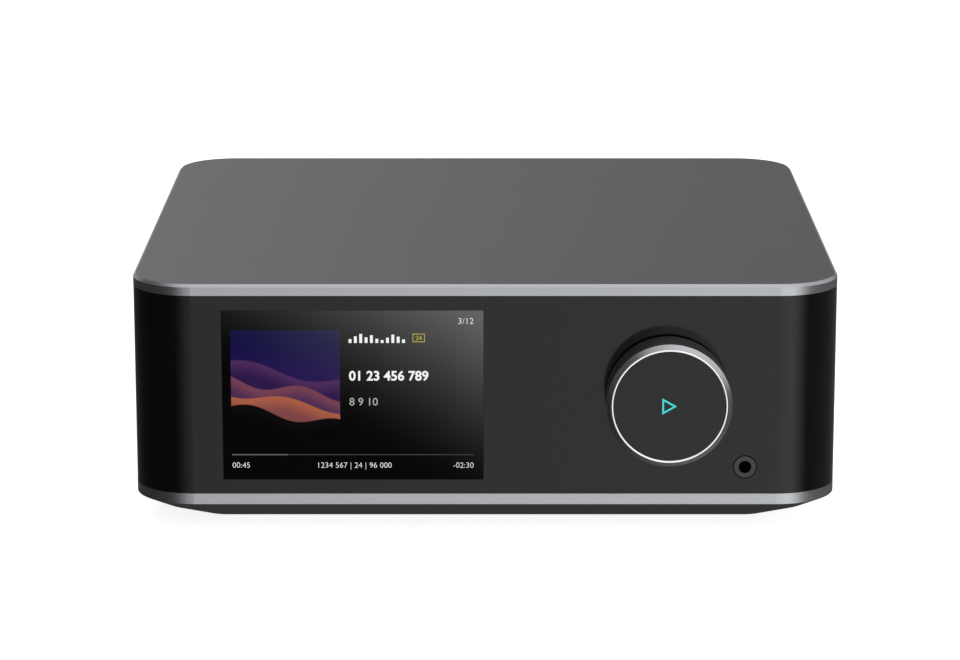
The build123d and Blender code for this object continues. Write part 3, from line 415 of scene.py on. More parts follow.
# A disc under black lacquer: a little softer than the fascia, with fine rings under the gloss.
KNOB_DISC = Finish("black_lacquered_disc", "#040404", "#060606", 0.0, 0.16, 0.03, Grain.TURNED, 0.25, 0.0012,
                   20.0, 1.49, 0.37, KNOB_AXIS)
# Aluminium, cut with a diamond: nearly white where it faces the light, with rings drawn coarser to show.
TRIM = Finish("diamond_cut_aluminium", "#f2f2f2", "#ececec", 1.0, 0.20, 0.04, Grain.TURNED, 0.15, 0.001, 10.0,
              axis=KNOB_AXIS)
# Clear acrylic, tinted cyan and lit from behind: even light over a soft gloss.
SYMBOL = Lit("lit_cyan_acrylic", "#0c4a4e", "#0d4c50", roughness=0.25, light="#22d6cf", strength=0.9)
# Black nickel plate on a turned ring: a dark metal with a satin streak.
BEZEL = Finish("black_nickel_plate", "#454648", "#414244", 1.0, 0.28, 0.05, Grain.TURNED, 0.12, 0.002, 5.0,
               axis=JACK_AXIS)
# Silicone rubber from a blasted mould: matt and dusty black.
RUBBER = Finish("moulded_silicone_rubber", "#1d1d1d", "#222222", 0.0, 0.78, 0.08, Grain.BLASTED, 0.25,
                0.03, 8.0)
# Gold plate on turned brass: warm and bright, with small ripples that catch the light.
GOLD = Finish("gold_plated_brass", "#e2bd72", "#d9b268", 1.0, 0.22, 0.05, Grain.BLASTED, 0.6, 0.003, 6.0)
# Tin plate on rolled steel: a greyish metal with the roll's scratches.
TIN = Finish("tin_plated_steel", "#b9b9b4", "#a9aaa7", 1.0, 0.33, 0.08, Grain.BRUSHED, 0.2, 0.004, 6.0)
# Brass, as machined: yellow, with the cutter's scratches.
BRASS = Finish("machined_brass", "#cfa964", "#c29c5a", 1.0, 0.30, 0.06, Grain.BRUSHED, 0.15, 0.004, 6.0)
# Aluminium, as extruded: pale, with the die's lines.
EXTRUSION = Finish("extruded_aluminium", "#c9cacb", "#bfc0c1", 1.0, 0.38, 0.08, Grain.BRUSHED, 0.2, 0.005,
                   10.0)
# Ferrite, pressed and sintered: dark, matt and slightly pitted.
FERRITE = Finish("sintered_ferrite", "#2c2c2f", "#353538", 0.0, 0.7, 0.08, Grain.BLASTED, 0.5, 0.03, 5.0)
# Steel with powder coat: black with a fine orange peel that breaks its sheen.
PANEL = Finish("powder_coated_steel", "#1a1b1c", "#1e1f20", 0.0, 0.46, 0.08, Grain.BLASTED, 0.7, 0.025, 30.0)
# ABS from a spark eroded mould: black, with a fine even matt.
SOCKET_ABS = Finish("spark_eroded_black_abs", "#141415", "#181819", 0.0, 0.52, 0.06, Grain.BLASTED, 0.35,
                    0.012, 10.0)
# ABS from a plain mould: dark grey and softly uneven.
FRAME_ABS = Finish("moulded_grey_abs", "#242426", "#29292b", 0.0, 0.55, 0.06, Grain.MOULDED, 0.6, 0.012, 15.0)
# Epoxy, as moulded round a chip: black, matt and very fine.
EPOXY = Finish("moulded_epoxy", "#1b1b1c", "#202021", 0.0, 0.6, 0.06, Grain.BLASTED, 0.2, 0.01, 3.0)
# A capacitor's polyester box: brick red with a soft gloss.
FILM_BOX = Finish("moulded_polyester_box", "#9a2a20", "#8c261e", 0.0, 0.4, 0.05, Grain.MOULDED, 0.4, 0.01,
                  5.0)
# Flat cable in polyester film: off-white, with the lines of its conductors.
RIBBON = Finish("polyester_flat_cable", "#dedcd4", "#d5d3ca", 0.0, 0.45, 0.05, Grain.BRUSHED, 0.5, 0.02, 8.0)
# Acetal, moulded: dense, smooth and a little waxy.
WHITE_ACETAL = Finish("moulded_white_acetal", "#dcdbd6", "#d3d2cc", 0.0, 0.34, 0.05, Grain.MOULDED, 0.5,
                      0.006, 4.0)
RED_ACETAL = Finish("moulded_red_acetal", "#b01c1c", "#a31919", 0.0, 0.34, 0.05, Grain.MOULDED, 0.5, 0.006,
                    4.0)
# Steel, blackened in oxide: a dark metal with faint tool marks.
BLACK_OXIDE = Finish("black_oxide_steel", "#4a4b4d", "#424345", 1.0, 0.42, 0.08, Grain.BRUSHED, 0.12, 0.004,
                     3.0)
# A circuit board: green and glossy, with the weave of its cloth in the gloss.
BOARD = SolderMask("green_solder_mask", "#0d3f22", "#0f4626", 0.0, 0.3, 0.04, Grain.WOVEN, 0.5, 0.006)
# Clear plastic over small lamps: a tinted glow.
OPTIC_LENS = Lit("lit_red_lens", "#3a0808", "#420909", roughness=0.2, light="#d81a12", strength=1.2)
GREEN_GUIDE = Lit("green_light_guide", "#2a5a2c", "#2d602f", roughness=0.3, light="#3fae46", strength=0.25)
AMBER_GUIDE = Lit("amber_light_guide", "#5e4416", "#644818", roughness=0.3, light="#c98a22", strength=0.25)

SLOT_FINISHES = {
    "case_aluminium": CASE, "base_dark": BASE, "rubber_black": RUBBER, "gloss_black": GLOSS,
    "display_glass": GLASS, "display_dark": EPOXY, "frame_plastic": FRAME_ABS, "knob_metal": KNOB_METAL,
    "bright_trim": BEZEL, "symbol_cyan": SYMBOL, "turned_brass": BRASS, "gold_plated": GOLD,
    "tinned_steel": TIN, "circuit_board": BOARD, "chip_black": EPOXY, "film_box": FILM_BOX,
    "core_dark": FERRITE, "bare_aluminium": EXTRUSION, "ribbon_white": RIBBON, "socket_black": SOCKET_ABS,
    "panel_black": PANEL, "insert_white": WHITE_ACETAL, "insert_red": RED_ACETAL,
}
NODE_FINISHES = {"knob_face": KNOB_DISC}


def switch(mode: str) -> None:
    """Puts the active piece in EDIT or OBJECT mode."""
    bpy.ops.object.mode_set(mode=mode)


def let_go() -> None:
    """Leaves edit mode and deselects everything, so that an operator acts on the new piece only."""
    if bpy.context.object and bpy.context.object.mode != "OBJECT":
        switch("OBJECT")
    bpy.ops.object.select_all(action="DESELECT")


def take_up(piece: Object) -> None:
    """Selects one piece alone and makes it active.

    Args:
        piece: The piece.
    """
    let_go()
    piece.select_set(True)
    bpy.context.view_layer.objects.active = piece


def settle(name: str) -> Object:
    """Names the active piece, puts its place in its mesh, merges its doubles and turns its faces outwards.

    Args:
        name: The piece's name.

    Returns:
        The piece.
    """
    switch("OBJECT")
    bpy.ops.object.transform_apply(location=True, rotation=True, scale=True)
    piece = bpy.context.object
    piece.name = piece.data.name = name
    switch("EDIT")
    bpy.ops.mesh.select_all(action="SELECT")
    bpy.ops.mesh.remove_doubles(threshold=MERGE_GAP * MM)
    bpy.ops.mesh.normals_make_consistent(inside=False)
    switch("OBJECT")
    return piece


def smooth(piece: Object, rounding: float = 0.0, angle: float = 30.0) -> None:
    """Rounds a piece's sharp edges with a bevel, and shades it smooth between them.

    Args:
        piece: The piece.
        rounding: How far in from an edge it is rounded, or 0 to leave the edges sharp.
        angle: The least angle, in degrees, that counts as an edge.
    """
    take_up(piece)
    if rounding:
        bevel = piece.modifiers.new("Edge", "BEVEL")
        bevel.width, bevel.segments, bevel.limit_method = rounding * MM, BEVEL_SEGMENTS, "ANGLE"
        bevel.angle_limit = math.radians(angle)
        bpy.ops.object.modifier_apply(modifier=bevel.name)
    bpy.ops.object.shade_smooth_by_angle(angle=math.radians(angle))


def dress(piece: Object, finish: Finish, body: str, slot: str, *nodes: str) -> None:
    """Gives a new piece its material and the body it rides on, and hides the nodes it stands for.

    Args:
        piece: The piece.
        finish: Its material.
        body: The body that it moves with.
        slot: The record's material slot that it takes its finish from; not used.
        nodes: The CAD nodes that it replaces.
    """
    piece.data.materials.clear()
    piece.data.materials.append(finish.build())
    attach(piece, body)
    if nodes:
        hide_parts(*nodes)
    LOG.info("%s rides on %s", piece.name, body)


def turn(name: str, centre: Point, profile: tuple[Spot, ...], flats: int, bored: bool = False) -> Object:
    """Turns a piece about an axis along Y, as on a lathe.

    Args:
        name: The piece's name.
        centre: The point on the axis that the profile's depths start from.
        profile: Points along the piece's outside, each a depth along Y and a radius.
        flats: The number of flats round the piece.
        bored: Whether the profile closes on itself round a bore, with no cap at either end.

    Returns:
        The piece.
    """
    let_go()
    x, start, z = centre
    depth, radius = profile[0]
    bpy.ops.mesh.primitive_circle_add(
        vertices=flats, radius=radius * MM, location=(x * MM, (start + depth) * MM, z * MM),
        rotation=(math.pi / 2, 0, 0), fill_type="NOTHING" if bored else "NGON")
    bpy.ops.object.transform_apply(location=True, rotation=True, scale=True)
    switch("EDIT")
    bpy.ops.mesh.select_mode(type="VERT")
    bpy.ops.mesh.select_all(action="SELECT")
    for next_depth, next_radius in profile[1:] + (profile[:1] if bored else ()):
        bpy.ops.mesh.extrude_region_move(TRANSFORM_OT_translate={"value": (0, (next_depth - depth) * MM, 0)})
        ratio = next_radius / radius
        bpy.ops.transform.resize(
            value=(ratio, 1, ratio), center_override=(x * MM, (start + next_depth) * MM, z * MM))
        depth, radius = next_depth, next_radius
    return settle(name)


def block(name: str, low: Point, high: Point) -> Object:
    """Starts a piece as a block between two corners.

    Args:
        name: The piece's name.
        low: Its lowest corner.
        high: Its highest corner.

    Returns:
        The block.
    """
    let_go()
    low, high = Vector(low) * MM, Vector(high) * MM
    bpy.ops.mesh.primitive_cube_add(size=1.0, location=(low + high) / 2)
    bpy.context.object.scale = high - low
    return settle(name)


def repeated(piece: Object, stem: str, places: tuple[Point, ...]) -> list[Object]:
    """Copies a piece from its first place to the others, with a mesh for each.

    Args:
        piece: The piece, at the first place.
        stem: Each copy's name before its number.
        places: All the places.

    Returns:
        The piece and its copies.
    """
    pieces = [piece]
    for number, place in enumerate(places[1:], 2):
        take_up(piece)
        bpy.ops.object.duplicate(linked=False)
        copy = bpy.context.object
        copy.location = (Vector(place) - Vector(places[0])) * MM
        bpy.ops.object.transform_apply(location=True, rotation=True, scale=True)
        copy.name = copy.data.name = f"{stem}_{number}"
        pieces.append(copy)
    return pieces


def pick(piece: Object, chosen: list[bool], kind: str = "FACE") -> None:
    """Opens a piece in edit mode with the chosen faces or edges selected.

    Args:
        piece: The piece.
        chosen: For each face or edge, whether it is chosen.
        kind: FACE or EDGE.
    """
    take_up(piece)
    switch("EDIT")
    bpy.ops.mesh.select_mode(type=kind)
    bpy.ops.mesh.select_all(action="DESELECT")
    switch("OBJECT")
    parts = piece.data.polygons if kind == "FACE" else piece.data.edges
    parts.foreach_set("select", chosen)
    switch("EDIT")


def looking(piece: Object, way: Point) -> list[bool]:
    """Tells for each of a piece's faces whether it looks a given way."""
    return [face.normal.dot(Vector(way)) > FACING_LIMIT for face in piece.data.polygons]


def cut(piece: Object, tool: Object, operation: str) -> None:
    """Cuts a piece with a tool, which is used up.

    Args:
        piece: The piece.
        tool: What it is cut with.
        operation: DIFFERENCE to take the tool's form away, or INTERSECT to keep only what is inside it.
    """
    take_up(piece)
    change = piece.modifiers.new("Cut", "BOOLEAN")
    change.operation, change.object, change.solver = operation, tool, "EXACT"
    bpy.ops.object.modifier_apply(modifier=change.name)
    bpy.data.objects.remove(tool)


@dataclass
class Solids:
    """The frame's own solids, which keep their shapes and get real finishes."""

    frame: dict

    def build(self) -> None:
        """Gives every CAD node the finish of its material slot."""
        for part in self.frame["record"]["subparts"]:
            name = part["node"]
            finish = NODE_FINISHES.get(name, SLOT_FINISHES[part["material_slot"]])
            for slot in self.frame["nodes"][name].material_slots:
                slot.material = finish.build()
            LOG.info("%s is in %s", name, finish.name)


@dataclass(frozen=True)
class Line:
    """A line of plain figures: the x that it starts at, ends at or is centred on, and its foot's z."""

    name: str
    text: str
    place: Spot
    rise: float
    finish: Finish
    anchor: str = "LEFT"
    weight: float = 0.0


@dataclass
class Screen:
    """What the display shows: plain figures, level bars, a progress line and a generic cover."""

    proud: float = 0.03
    # The share of its thickness by which a patch's back clears the glass
    back_share: float = 0.1
    # The share of a patch's shorter side that its edge takes
    edge_share: float = 0.04
    figure_depth: float = 0.012
    figure_steps: int = 4
    cover_corner: Spot = (-71.48, 28.6)
    cover_size: Spot = (30.6, 31.3)
    bars_corner: Spot = (-38.3, 56.3)
    bar_width: float = 0.8
    bar_pitch: float = 1.5
    bar_rises: tuple[float, ...] = (1.1, 1.9, 2.6, 1.6, 2.2, 1.2, 0.8, 1.5, 2.4, 1.8, 1.0)
    badge_corner: Spot = (-20.4, 56.5)
    badge_size: Spot = (3.5, 2.5)
    badge_line: float = 0.25
    progress_corner: Spot = (-71.48, 23.7)
    progress_size: Spot = (68.28, 0.3)
    played_size: Spot = (15.78, 0.3)
    lines: tuple[Line, ...] = (
        Line("badge_figures", "24", (-18.65, 57.125), 1.25, OLIVE_PIXELS, "CENTER", 0.02),
        Line("title_figures", "01 23 456 789", (-38.3, 45.5), 2.65, WHITE_PIXELS, weight=0.09),
        Line("second_figures", "8 9 10", (-38.3, 38.2), 2.2, GREY_PIXELS, weight=0.01),
        Line("count_figures", "3/12", (-3.2, 61.75), 1.75, WHITE_PIXELS, "RIGHT", -0.035),
        Line("elapsed_figures", "00:45", (-71.48, 20.0), 1.6, WHITE_PIXELS, "LEFT", -0.035),
        Line("rate_figures", "1234 567 | 24 | 96 000", (-37.0, 20.0), 1.6, WHITE_PIXELS, "CENTER", -0.035),
        Line("remaining_figures", "-02:30", (-3.2, 20.0), 1.6, WHITE_PIXELS, "RIGHT", -0.035),
    )

    def patch(self, name: str, corner: Spot, size: Spot, finish: Finish, layer: int = 1,
              line: float = 0.0) -> None:
        """Lays a thin patch of lit pixels on the glass.

        Args:
            name: The piece's name.
            corner: Its low left corner's x and z.
            size: Its width and height.
            finish: Its lit finish.
            layer: How many thicknesses it stands out, so that it covers the one under it.
            line: How wide its outline is, or 0 for a full patch.
        """
        (x, z), (width, rise) = corner, size
        piece = block(name, (x, FASCIA_FACE - self.proud * layer, z),
                      (x + width, FASCIA_FACE - self.proud * self.back_share, z + rise))
        front, back = looking(piece, (0, -1, 0)), looking(piece, (0, 1, 0))
        pick(piece, [ahead or behind for ahead, behind in zip(front, back)] if line else front)
        bpy.ops.mesh.inset(thickness=(line or min(size) * self.edge_share) * MM, depth=0)
        if line:
            bpy.ops.mesh.bridge_edge_loops()
        dress(settle(name), finish, "housing", "display_dark")

    def write(self, line: Line) -> None:
        """Sets a line of plain figures on the glass.

        Args:
            line: The line.
        """
        let_go()
        x, z = line.place
        bpy.ops.object.text_add(location=(x * MM, (FASCIA_FACE - self.proud) * MM, z * MM),
                                rotation=(math.pi / 2, 0, 0))
        text = bpy.context.object.data
        text.body, text.align_x, text.resolution_u = line.text, line.anchor, self.figure_steps
        text.size = line.rise * MM / FIGURE_SHARE
        text.extrude, text.offset = self.figure_depth * MM, line.weight * MM
        bpy.ops.object.convert(target="MESH")
        dress(settle(line.name), line.finish, "housing", "display_dark")

    def build(self) -> None:
        """Builds all that the screen shows."""
        self.patch("cover_picture", self.cover_corner, self.cover_size, COVER)
        x, z = self.bars_corner
        for number, rise in enumerate(self.bar_rises):
            corner = (x + number * self.bar_pitch, z)
            self.patch(f"level_bar_{number + 1}", corner, (self.bar_width, rise), WHITE_PIXELS)
        self.patch("badge_frame", self.badge_corner, self.badge_size, OLIVE_PIXELS, line=self.badge_line)
        for line in self.lines:
            self.write(line)
        self.patch("progress_line", self.progress_corner, self.progress_size, FAINT_PIXELS)
        self.patch("played_line", self.progress_corner, self.played_size, DIM_PIXELS, 2)


@dataclass
class Knob:
    """The volume knob's cap, with its bright trim ring let into the front."""

    flats: int = 160
    # From the back's chamfer over the rim, its chamfer and the trim's groove to the recess and the bore
    cap: tuple[Spot, ...] = (
        (-1.4, 17.25), (-1.65, 17.5), (-11.5, 17.5), (-12.48, 16.3), (-11.9, 16.28), (-11.9, 15.67),
        (-10.75, 15.65), (-10.75, 3.05), (-1.4, 3.05))
    trim: tuple[Spot, ...] = (
        (-11.9, 16.27), (-12.4, 16.27), (-12.5, 16.17), (-12.5, 15.75), (-12.4, 15.65), (-11.9, 15.65))
    trim_angle: float = 50.0

    def build(self) -> None:
        """Turns the cap and the ring."""
        cap = turn("knob_cap", KNOB_AXIS, self.cap, self.flats, bored=True)
        smooth(cap)
        dress(cap, KNOB_METAL, "volume_ring", "knob_metal", "volume_knob")
        ring = turn("knob_trim_ring", KNOB_AXIS, self.trim, self.flats, bored=True)
        smooth(ring, angle=self.trim_angle)
        dress(ring, TRIM, "volume_ring", "bright_trim")


@dataclass
class BaseSkirt:
    """The base tray, with its sharp lower corners trimmed round."""

    frame: dict
    width: float = 200.0
    depth: float = 192.5
    # The form's corners at the rim's level, where the tray's own are rounder. The taper narrows them with it.
    radius: float = 10.5
    corner_flats: int = 24
    rim: float = 9.3
    underside: float = 1.3
    taper: float = 17.0
    top: float = 73.0
    # The trimming form stands this far clear of the tray's flat sides
    clear: float = 0.01

    def form(self) -> Object:
        """Builds the rounded form that the tray is trimmed to, tapered below the rim.

        Returns:
            The form.
        """
        x, y = self.width / 2 + self.clear, self.depth / 2 + self.clear
        form = block("trimming_form", (-x, -y, self.rim), (x, y, self.top))
        ends = [[form.data.vertices[index].co for index in edge.vertices] for edge in form.data.edges]
        pick(form, [abs(end.z - start.z) > MM for start, end in ends], "EDGE")
        bpy.ops.mesh.bevel(offset=self.radius * MM, segments=self.corner_flats, clamp_overlap=False)
        switch("OBJECT")
        pick(form, looking(form, (0, 0, -1)))
        bottom = self.underside - self.clear
        bpy.ops.mesh.extrude_region_move(TRANSFORM_OT_translate={"value": (0, 0, (bottom - self.rim) * MM)})
        bpy.ops.transform.resize(value=(1 - self.taper / x, 1 - self.taper / y, 1),
                                 center_override=(0, 0, bottom * MM))
        return settle("trimming_form")

    def build(self) -> None:
        """Copies the solid's mesh, merges it and trims it to the form."""
        form = self.form()
        node = self.frame["nodes"]["base_tray"]
        skirt = bpy.data.objects.new("base_skirt", node.data.copy())
        bpy.context.scene.collection.objects.link(skirt)
        skirt.matrix_world = node.matrix_world
        take_up(skirt)
        settle("base_skirt")
        cut(skirt, form, "INTERSECT")
        smooth(skirt)
        dress(skirt, BASE, "housing", "base_dark", "base_tray")


@dataclass
class Feet:
    """Moulded rubber feet, with rounded edges and a shallow ring in the tread."""

    places: tuple[Point, ...] = (
        (-62.0, -55.0, 0.0), (62.0, -55.0, 0.0), (-62.0, 55.0, 0.0), (62.0, 55.0, 0.0))
    flats: int = 64
    radius: float = 8.0
    top: float = 1.3
    rounding: float = 0.18
    # Each step inwards over the tread: how far in, and how far down into the rubber or back up
    tread: tuple[Spot, ...] = ((1.6, 0.0), (0.5, -0.35), (1.4, 0.0), (0.4, 0.2))

    def build(self) -> None:
        """Makes one foot and copies it to the other corners."""
        let_go()
        bpy.ops.mesh.primitive_cylinder_add(
            vertices=self.flats, radius=self.radius * MM, depth=self.top * MM,
            location=(Vector(self.places[0]) + Vector((0, 0, self.top / 2))) * MM)
        foot = settle("rubber_foot_1")
        pick(foot, looking(foot, (0, 0, -1)))
        for inwards, rise in self.tread:
            bpy.ops.mesh.inset(thickness=inwards * MM, depth=rise * MM)
        smooth(foot, self.rounding)
        first, *others = repeated(foot, "rubber_foot", self.places)
        dress(first, RUBBER, "housing", "rubber_black", "rubber_feet")
        for other in others:
            dress(other, RUBBER, "housing", "rubber_black")


@dataclass
class PanelScrews:
    """Pan head screws with a cross recess, one at each corner of the rear panel."""

    places: tuple[Point, ...] = (
        (-78.6, PANEL_FACE, 63.1), (78.6, PANEL_FACE, 63.1), (-79.0, PANEL_FACE, 18.9),
        (79.6, PANEL_FACE, 18.6))
    flats: int = 32
    head: tuple[Spot, ...] = ((0.02, 1.9), (0.35, 1.9), (0.8, 1.634), (1.0, 1.178))
    slot_length: float = 1.9
    slot_width: float = 0.42
    slot_depth: float = 0.55

    def build(self) -> None:
        """Turns one head, cuts its cross and copies it to the other corners."""
        head = turn("panel_screw_1", self.places[0], self.head, self.flats)
        top = Vector(self.places[0]) + Vector((0, self.head[-1][0], 0))
        for length, width in ((self.slot_length, self.slot_width), (self.slot_width, self.slot_length)):
            half = Vector((length / 2, self.slot_depth, width / 2))
            cut(head, block("recess", tuple(top - half), tuple(top + half)), "DIFFERENCE")
        smooth(head)
        for piece in repeated(head, "panel_screw", self.places):
            dress(piece, BLACK_OXIDE, "housing", "panel_black")


@dataclass
class PhonoRims:
    """The rolled gold rim at the mouth of each phono socket's contact."""

    columns: Spot = (70.87, 53.24)
    levels: Spot = (28.591, 43.573)
    core_end: float = 103.55
    flats: int = 40
    angle: float = 60.0
    profile: tuple[Spot, ...] = ((-0.02, 2.15), (0.12, 2.1), (0.2, 1.9), (0.12, 1.66), (-0.02, 1.64))

    def build(self) -> None:
        """Turns one rim and copies it to the other contacts."""
        places = tuple((x, self.core_end, z) for x in self.columns for z in self.levels)
        rim = turn("phono_contact_rim_1", places[0], self.profile, self.flats, bored=True)
        smooth(rim, angle=self.angle)
        for piece in repeated(rim, "phono_contact_rim", places):
            dress(piece, GOLD, "housing", "gold_plated")


@dataclass
class ContactRow:
    """A row of gold contact strips on a socket's tongue."""

    name: str
    centre: float
    level: float
    count: int
    pitch: float
    width: float
    ends: Spot
    thickness: float = 0.06
    # The share of a strip's width that its edge takes
    edge_share: float = 0.15

    def build(self) -> None:
        """Shapes one strip, copies it along the tongue and joins the row."""
        start = self.centre - self.pitch * (self.count - 1) / 2
        places = tuple((start + self.pitch * number, 0, 0) for number in range(self.count))
        (back, front), half = self.ends, self.width / 2
        strip = block("strip", (start - half, back, self.level),
                      (start + half, front, self.level + self.thickness))
        pick(strip, looking(strip, (0, 0, 1)))
        bpy.ops.mesh.inset(thickness=self.width * self.edge_share * MM, depth=0)
        row = repeated(strip, "strip", places)
        let_go()
        for piece in row:
            piece.select_set(True)
        bpy.context.view_layer.objects.active = strip
        bpy.ops.object.join()
        dress(settle(self.name), GOLD, "housing", "gold_plated")


@dataclass
class SocketLights:
    """The red lens in the optical output, and the two light guides in the network socket's top corners."""

    lens_seat: Point = (23.08, 86.65, 26.3)
    lens_flats: int = 32
    lens_angle: float = 60.0
    lens: tuple[Spot, ...] = ((0.02, 1.5), (0.4, 1.5), (0.75, 1.2), (0.95, 0.7))
    network_centre: float = -26.66
    network_top: float = 34.5
    guide_offset: float = 6.0
    guide_size: Spot = (2.6, 1.0)
    guide_drop: float = 0.7
    # How far a guide's back and front stand out from the socket's face
    guide_stand: Spot = (0.01, 0.12)
    guide_rounding: float = 0.05

    def build(self) -> None:
        """Turns the lens and shapes the guides."""
        lens = turn("optical_lens", self.lens_seat, self.lens, self.lens_flats)
        smooth(lens, angle=self.lens_angle)
        dress(lens, OPTIC_LENS, "housing", "socket_black")
        width, rise = self.guide_size
        back, front = (SOCKET_FACE + stand for stand in self.guide_stand)
        top = self.network_top - self.guide_drop
        guides = (("green_light_guide", -1, GREEN_GUIDE), ("amber_light_guide", 1, AMBER_GUIDE))
        for name, side, finish in guides:
            x = self.network_centre + side * self.guide_offset
            guide = block(name, (x - width / 2, back, top - rise), (x + width / 2, front, top))
            smooth(guide, self.guide_rounding)
            dress(guide, finish, "housing", "socket_black")


@dataclass
class GroundNut:
    """The ground post's thumb nut, with grips milled round its edge."""

    flats: int = 72
    # From the washer over the neck, the grip and the end's chamfer to the mouth and the bore
    profile: tuple[Spot, ...] = (
        (0.0, 3.6), (0.3, 4.0), (0.9, 4.05), (1.2, 4.5), (5.6, 4.5), (6.0, 4.1), (6.0, 2.5), (5.65, 2.08),
        (0.0, 2.08))
    # The grip's faces lie between these depths and beyond this radius, and one in so many is milled
    grip_ends: Spot = (1.2, 5.6)
    grip_radius: float = 4.2
    grip_pitch: int = 3
    grip_edge: float = 0.06
    grip_depth: float = 0.28

    def milled(self, centre: Vector) -> bool:
        """Tells whether a grip is milled into one of the nut's faces.

        Args:
            centre: The face's centre.

        Returns:
            Whether it is on the grip, and one of those that are milled.
        """
        dx, depth, dz = centre / MM - Vector(GROUND_AXIS)
        flat = round(math.atan2(dz, dx) / math.tau * self.flats - 0.5)
        on_grip = self.grip_ends[0] < depth < self.grip_ends[1] and math.hypot(dx, dz) > self.grip_radius
        return on_grip and flat % self.grip_pitch == 0

    def build(self) -> None:
        """Turns the nut and mills its grips."""
        nut = turn("ground_thumb_nut", GROUND_AXIS, self.profile, self.flats, bored=True)
        pick(nut, [self.milled(face.center) for face in nut.data.polygons])
        bpy.ops.mesh.inset(thickness=self.grip_edge * MM, depth=-self.grip_depth * MM, use_individual=True)
        smooth(nut)
        dress(nut, GOLD, "ground_nut", "gold_plated", "ground_nut")


@dataclass(frozen=True)
class Glow:
    """A soft-edged patch of the room's light, by where the directions that it fills start and stop."""

    level: float
    tilt: float = 0.0
    # Each edge: an axis, and the values along it where the patch is dark and where it is full
    edges: tuple[tuple[Axis, float, float], ...] = ()

    def draw(self, tree: NodeTree, axes: list[NodeSocket]) -> Node:
        """Draws the patch.

        Args:
            tree: The world's nodes.
            axes: The direction's x, y and z.

        Returns:
            The node that gives its level.
        """
        level = wire(tree, "Math", axes[Axis.X.value], self.tilt, self.level, operation="MULTIPLY_ADD")
        for axis, dark, full in self.edges:
            edge = wire(tree, "MapRange", axes[axis.value], dark, full, interpolation_type="SMOOTHSTEP")
            level = wire(tree, "Math", level, edge, operation="MULTIPLY")
        return level


# A white wall ahead of the object, which brightens to the right and falls off sooner at the left
WALL = Glow(1.12, 0.9, ((Axis.Y, 0.0, -0.3), (Axis.X, -0.75, 0.12), (Axis.X, 0.96, 0.40)))


@dataclass(frozen=True)
class Softbox:
    """A square soft light, with its power in watts."""

    name: str
    place: Point
    aim: Point
    size: float
    power: float

    def build(self) -> None:
        """Hangs the light and points it."""
        data = bpy.data.lights.new(self.name, "AREA")
        data.shape, data.size, data.energy = "SQUARE", self.size * MM, self.power
        lamp = bpy.data.objects.new(self.name, data)
        bpy.context.scene.collection.objects.link(lamp)
        lamp.location = Vector(self.place) * MM
        lamp.rotation_euler = (Vector(self.aim) - Vector(self.place)).to_track_quat("-Z", "Y").to_euler()


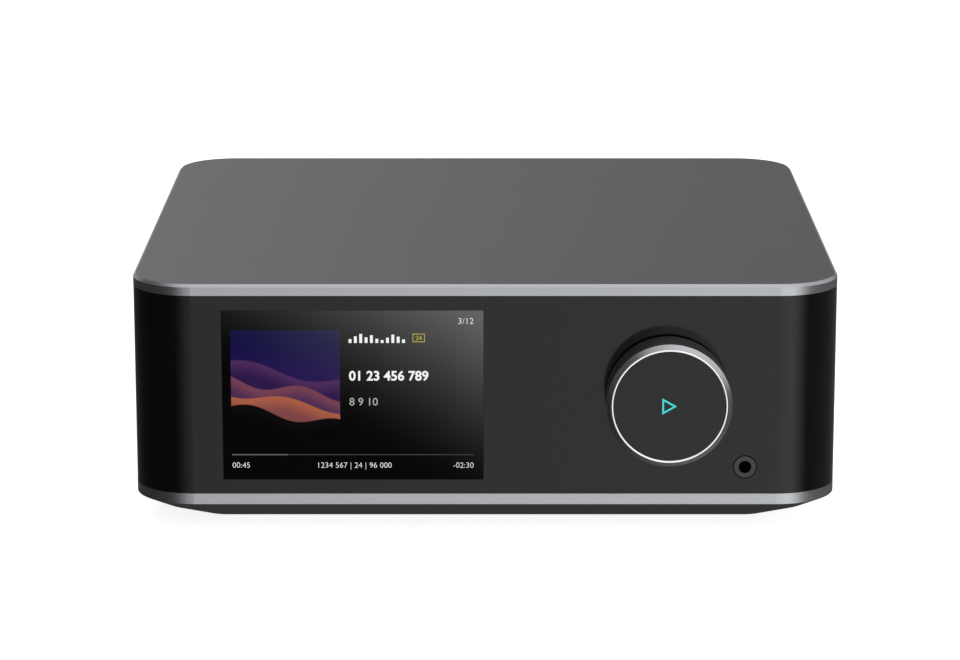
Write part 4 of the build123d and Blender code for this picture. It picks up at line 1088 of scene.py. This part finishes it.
@dataclass
class Studio:
    """A plain pale floor, soft light and the camera."""

    floor_size: float = 12000.0
    floor_colours: tuple[str, str] = ("#f4f4f4", "#f1f1f1")
    floor_clouds: float = 6.0
    floor_roughness: float = 0.9
    floor_specular: float = 0.1
    floor_glow: float = 0.85
    low_glows: tuple[Glow, ...] = (WALL, Glow(0.9, 0.0, ((Axis.Y, 0.90, 0.97),)), Glow(0.10, 0.06))
    high_glows: tuple[Glow, ...] = (
        WALL, Glow(0.85, 0.0, ((Axis.Z, 0.45, 0.85), (Axis.X, -0.68, -0.30))),
        Glow(0.85, 0.0, ((Axis.X, 0.35, 0.75), (Axis.Z, -0.05, 0.15))),
        Glow(0.17, -0.7, ((Axis.Y, 0.45, 0.8),)), Glow(0.12))
    horizon: Spot = (-0.06, 0.10)
    backdrop: float = 1.0
    softboxes: tuple[Softbox, ...] = (
        Softbox("overhead_softbox", (0.0, -100.0, 1700.0), (0.0, 0.0, 0.0), 1400.0, 1.4),
        Softbox("right_softbox", (1200.0, -500.0, 800.0), (0.0, 0.0, 30.0), 800.0, 0.8))
    camera_place: Point = (0.0, -1062.67, 290.13)
    pitch: float = 13.4898
    focal_pixels: float = 3547.4
    centre_pixels: Spot = (485.25, 336.0)
    frame_pixels: Spot = (960.0, 660.0)
    sensor: float = 36.0
    far_clip: float = 50000.0

    def floor(self) -> None:
        """Lays the floor, pale and evenly lit, so that hardly a shadow lies under the object."""
        let_go()
        bpy.ops.mesh.primitive_plane_add(size=self.floor_size * MM, location=(0, 0, 0))
        floor = bpy.context.object
        floor.name = "floor"
        material = bpy.data.materials.new("pale_studio_floor")
        material.use_nodes = True
        tree = material.node_tree
        tree.nodes.clear()
        point = wire(tree, "TexCoord").outputs["Object"]
        cloud = wire(tree, "TexNoise", point, sockets={"Scale": self.floor_clouds})
        pale, shade = (linear(colour) for colour in self.floor_colours)
        shader = wire(tree, "BsdfPrincipled", sockets={
            "Base Color": wire(tree, "Mix", cloud, sockets={6: pale, 7: shade}, data_type="RGBA"),
            "Roughness": self.floor_roughness, "Specular IOR Level": self.floor_specular,
            "Emission Color": linear("#ffffff"), "Emission Strength": self.floor_glow})
        wire(tree, "OutputMaterial", shader)
        floor.data.materials.append(material)
        floor.visible_glossy = False

    def room(self) -> None:
        """Lights the room by direction: below the horizon one set of glows, and above it another."""
        world = bpy.data.worlds.new("studio_room")
        bpy.context.scene.world = world
        world.use_nodes = True
        tree = world.node_tree
        tree.nodes.clear()
        axes = list(wire(tree, "SeparateXYZ", wire(tree, "TexCoord").outputs["Generated"]).outputs)
        levels = []
        for glows in (self.low_glows, self.high_glows):
            level, *others = (glow.draw(tree, axes) for glow in glows)
            for other in others:
                level = wire(tree, "Math", level, other, operation="MAXIMUM")
            levels.append(level)
        above = wire(tree, "MapRange", axes[Axis.Z.value], *self.horizon, interpolation_type="SMOOTHSTEP")
        level = wire(tree, "Mix", above, sockets={2: levels[0], 3: levels[1]})
        seen = wire(tree, "LightPath").outputs["Is Camera Ray"]
        level = wire(tree, "Mix", seen, sockets={2: level, 3: self.backdrop})
        light = wire(tree, "Background", wire(tree, "CombineColor", level, level, level), 1.0)
        wire(tree, "OutputWorld", light)

    def camera(self) -> None:
        """Sets the camera where the photograph's edges put it, with the same field of view."""
        data = bpy.data.cameras.new("camera")
        camera = bpy.data.objects.new("camera", data)
        bpy.context.scene.collection.objects.link(camera)
        width, height = self.frame_pixels
        data.sensor_width = self.sensor
        data.lens = self.focal_pixels * self.sensor / width
        data.shift_x = (width / 2 - self.centre_pixels[0]) / width
        data.shift_y = (self.centre_pixels[1] - height / 2) / width
        data.clip_end = self.far_clip * MM
        camera.location = Vector(self.camera_place) * MM
        camera.rotation_euler = (math.radians(90 - self.pitch), 0, 0)
        bpy.context.scene.camera = camera

    def build(self) -> None:
        """Builds the studio."""
        self.floor()
        self.room()
        for softbox in self.softboxes:
            softbox.build()
        self.camera()
        bpy.context.scene.view_settings.view_transform = "Standard"


def main() -> None:
    """Builds the streamer's looks round the frame, in order."""
    logging.basicConfig(level=logging.INFO, format="%(name)s: %(message)s")
    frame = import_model()
    hdmi_contacts = ContactRow(
        "hdmi_contacts", centre=-6.48, level=24.8, count=10, pitch=1.0, width=0.4, ends=(86.2, 93.5))
    usb_contacts = ContactRow(
        "usb_contacts", centre=-46.04, level=24.74, count=4, pitch=2.4, width=1.1, ends=(87.2, 94.6))
    for assembly in (Studio(), Solids(frame), Screen(), Knob(), BaseSkirt(frame), Feet(), PanelScrews(),
                     PhonoRims(), hdmi_contacts, usb_contacts, SocketLights(), GroundNut()):
        assembly.build()
    let_go()


if __name__ == "__main__":
    main()
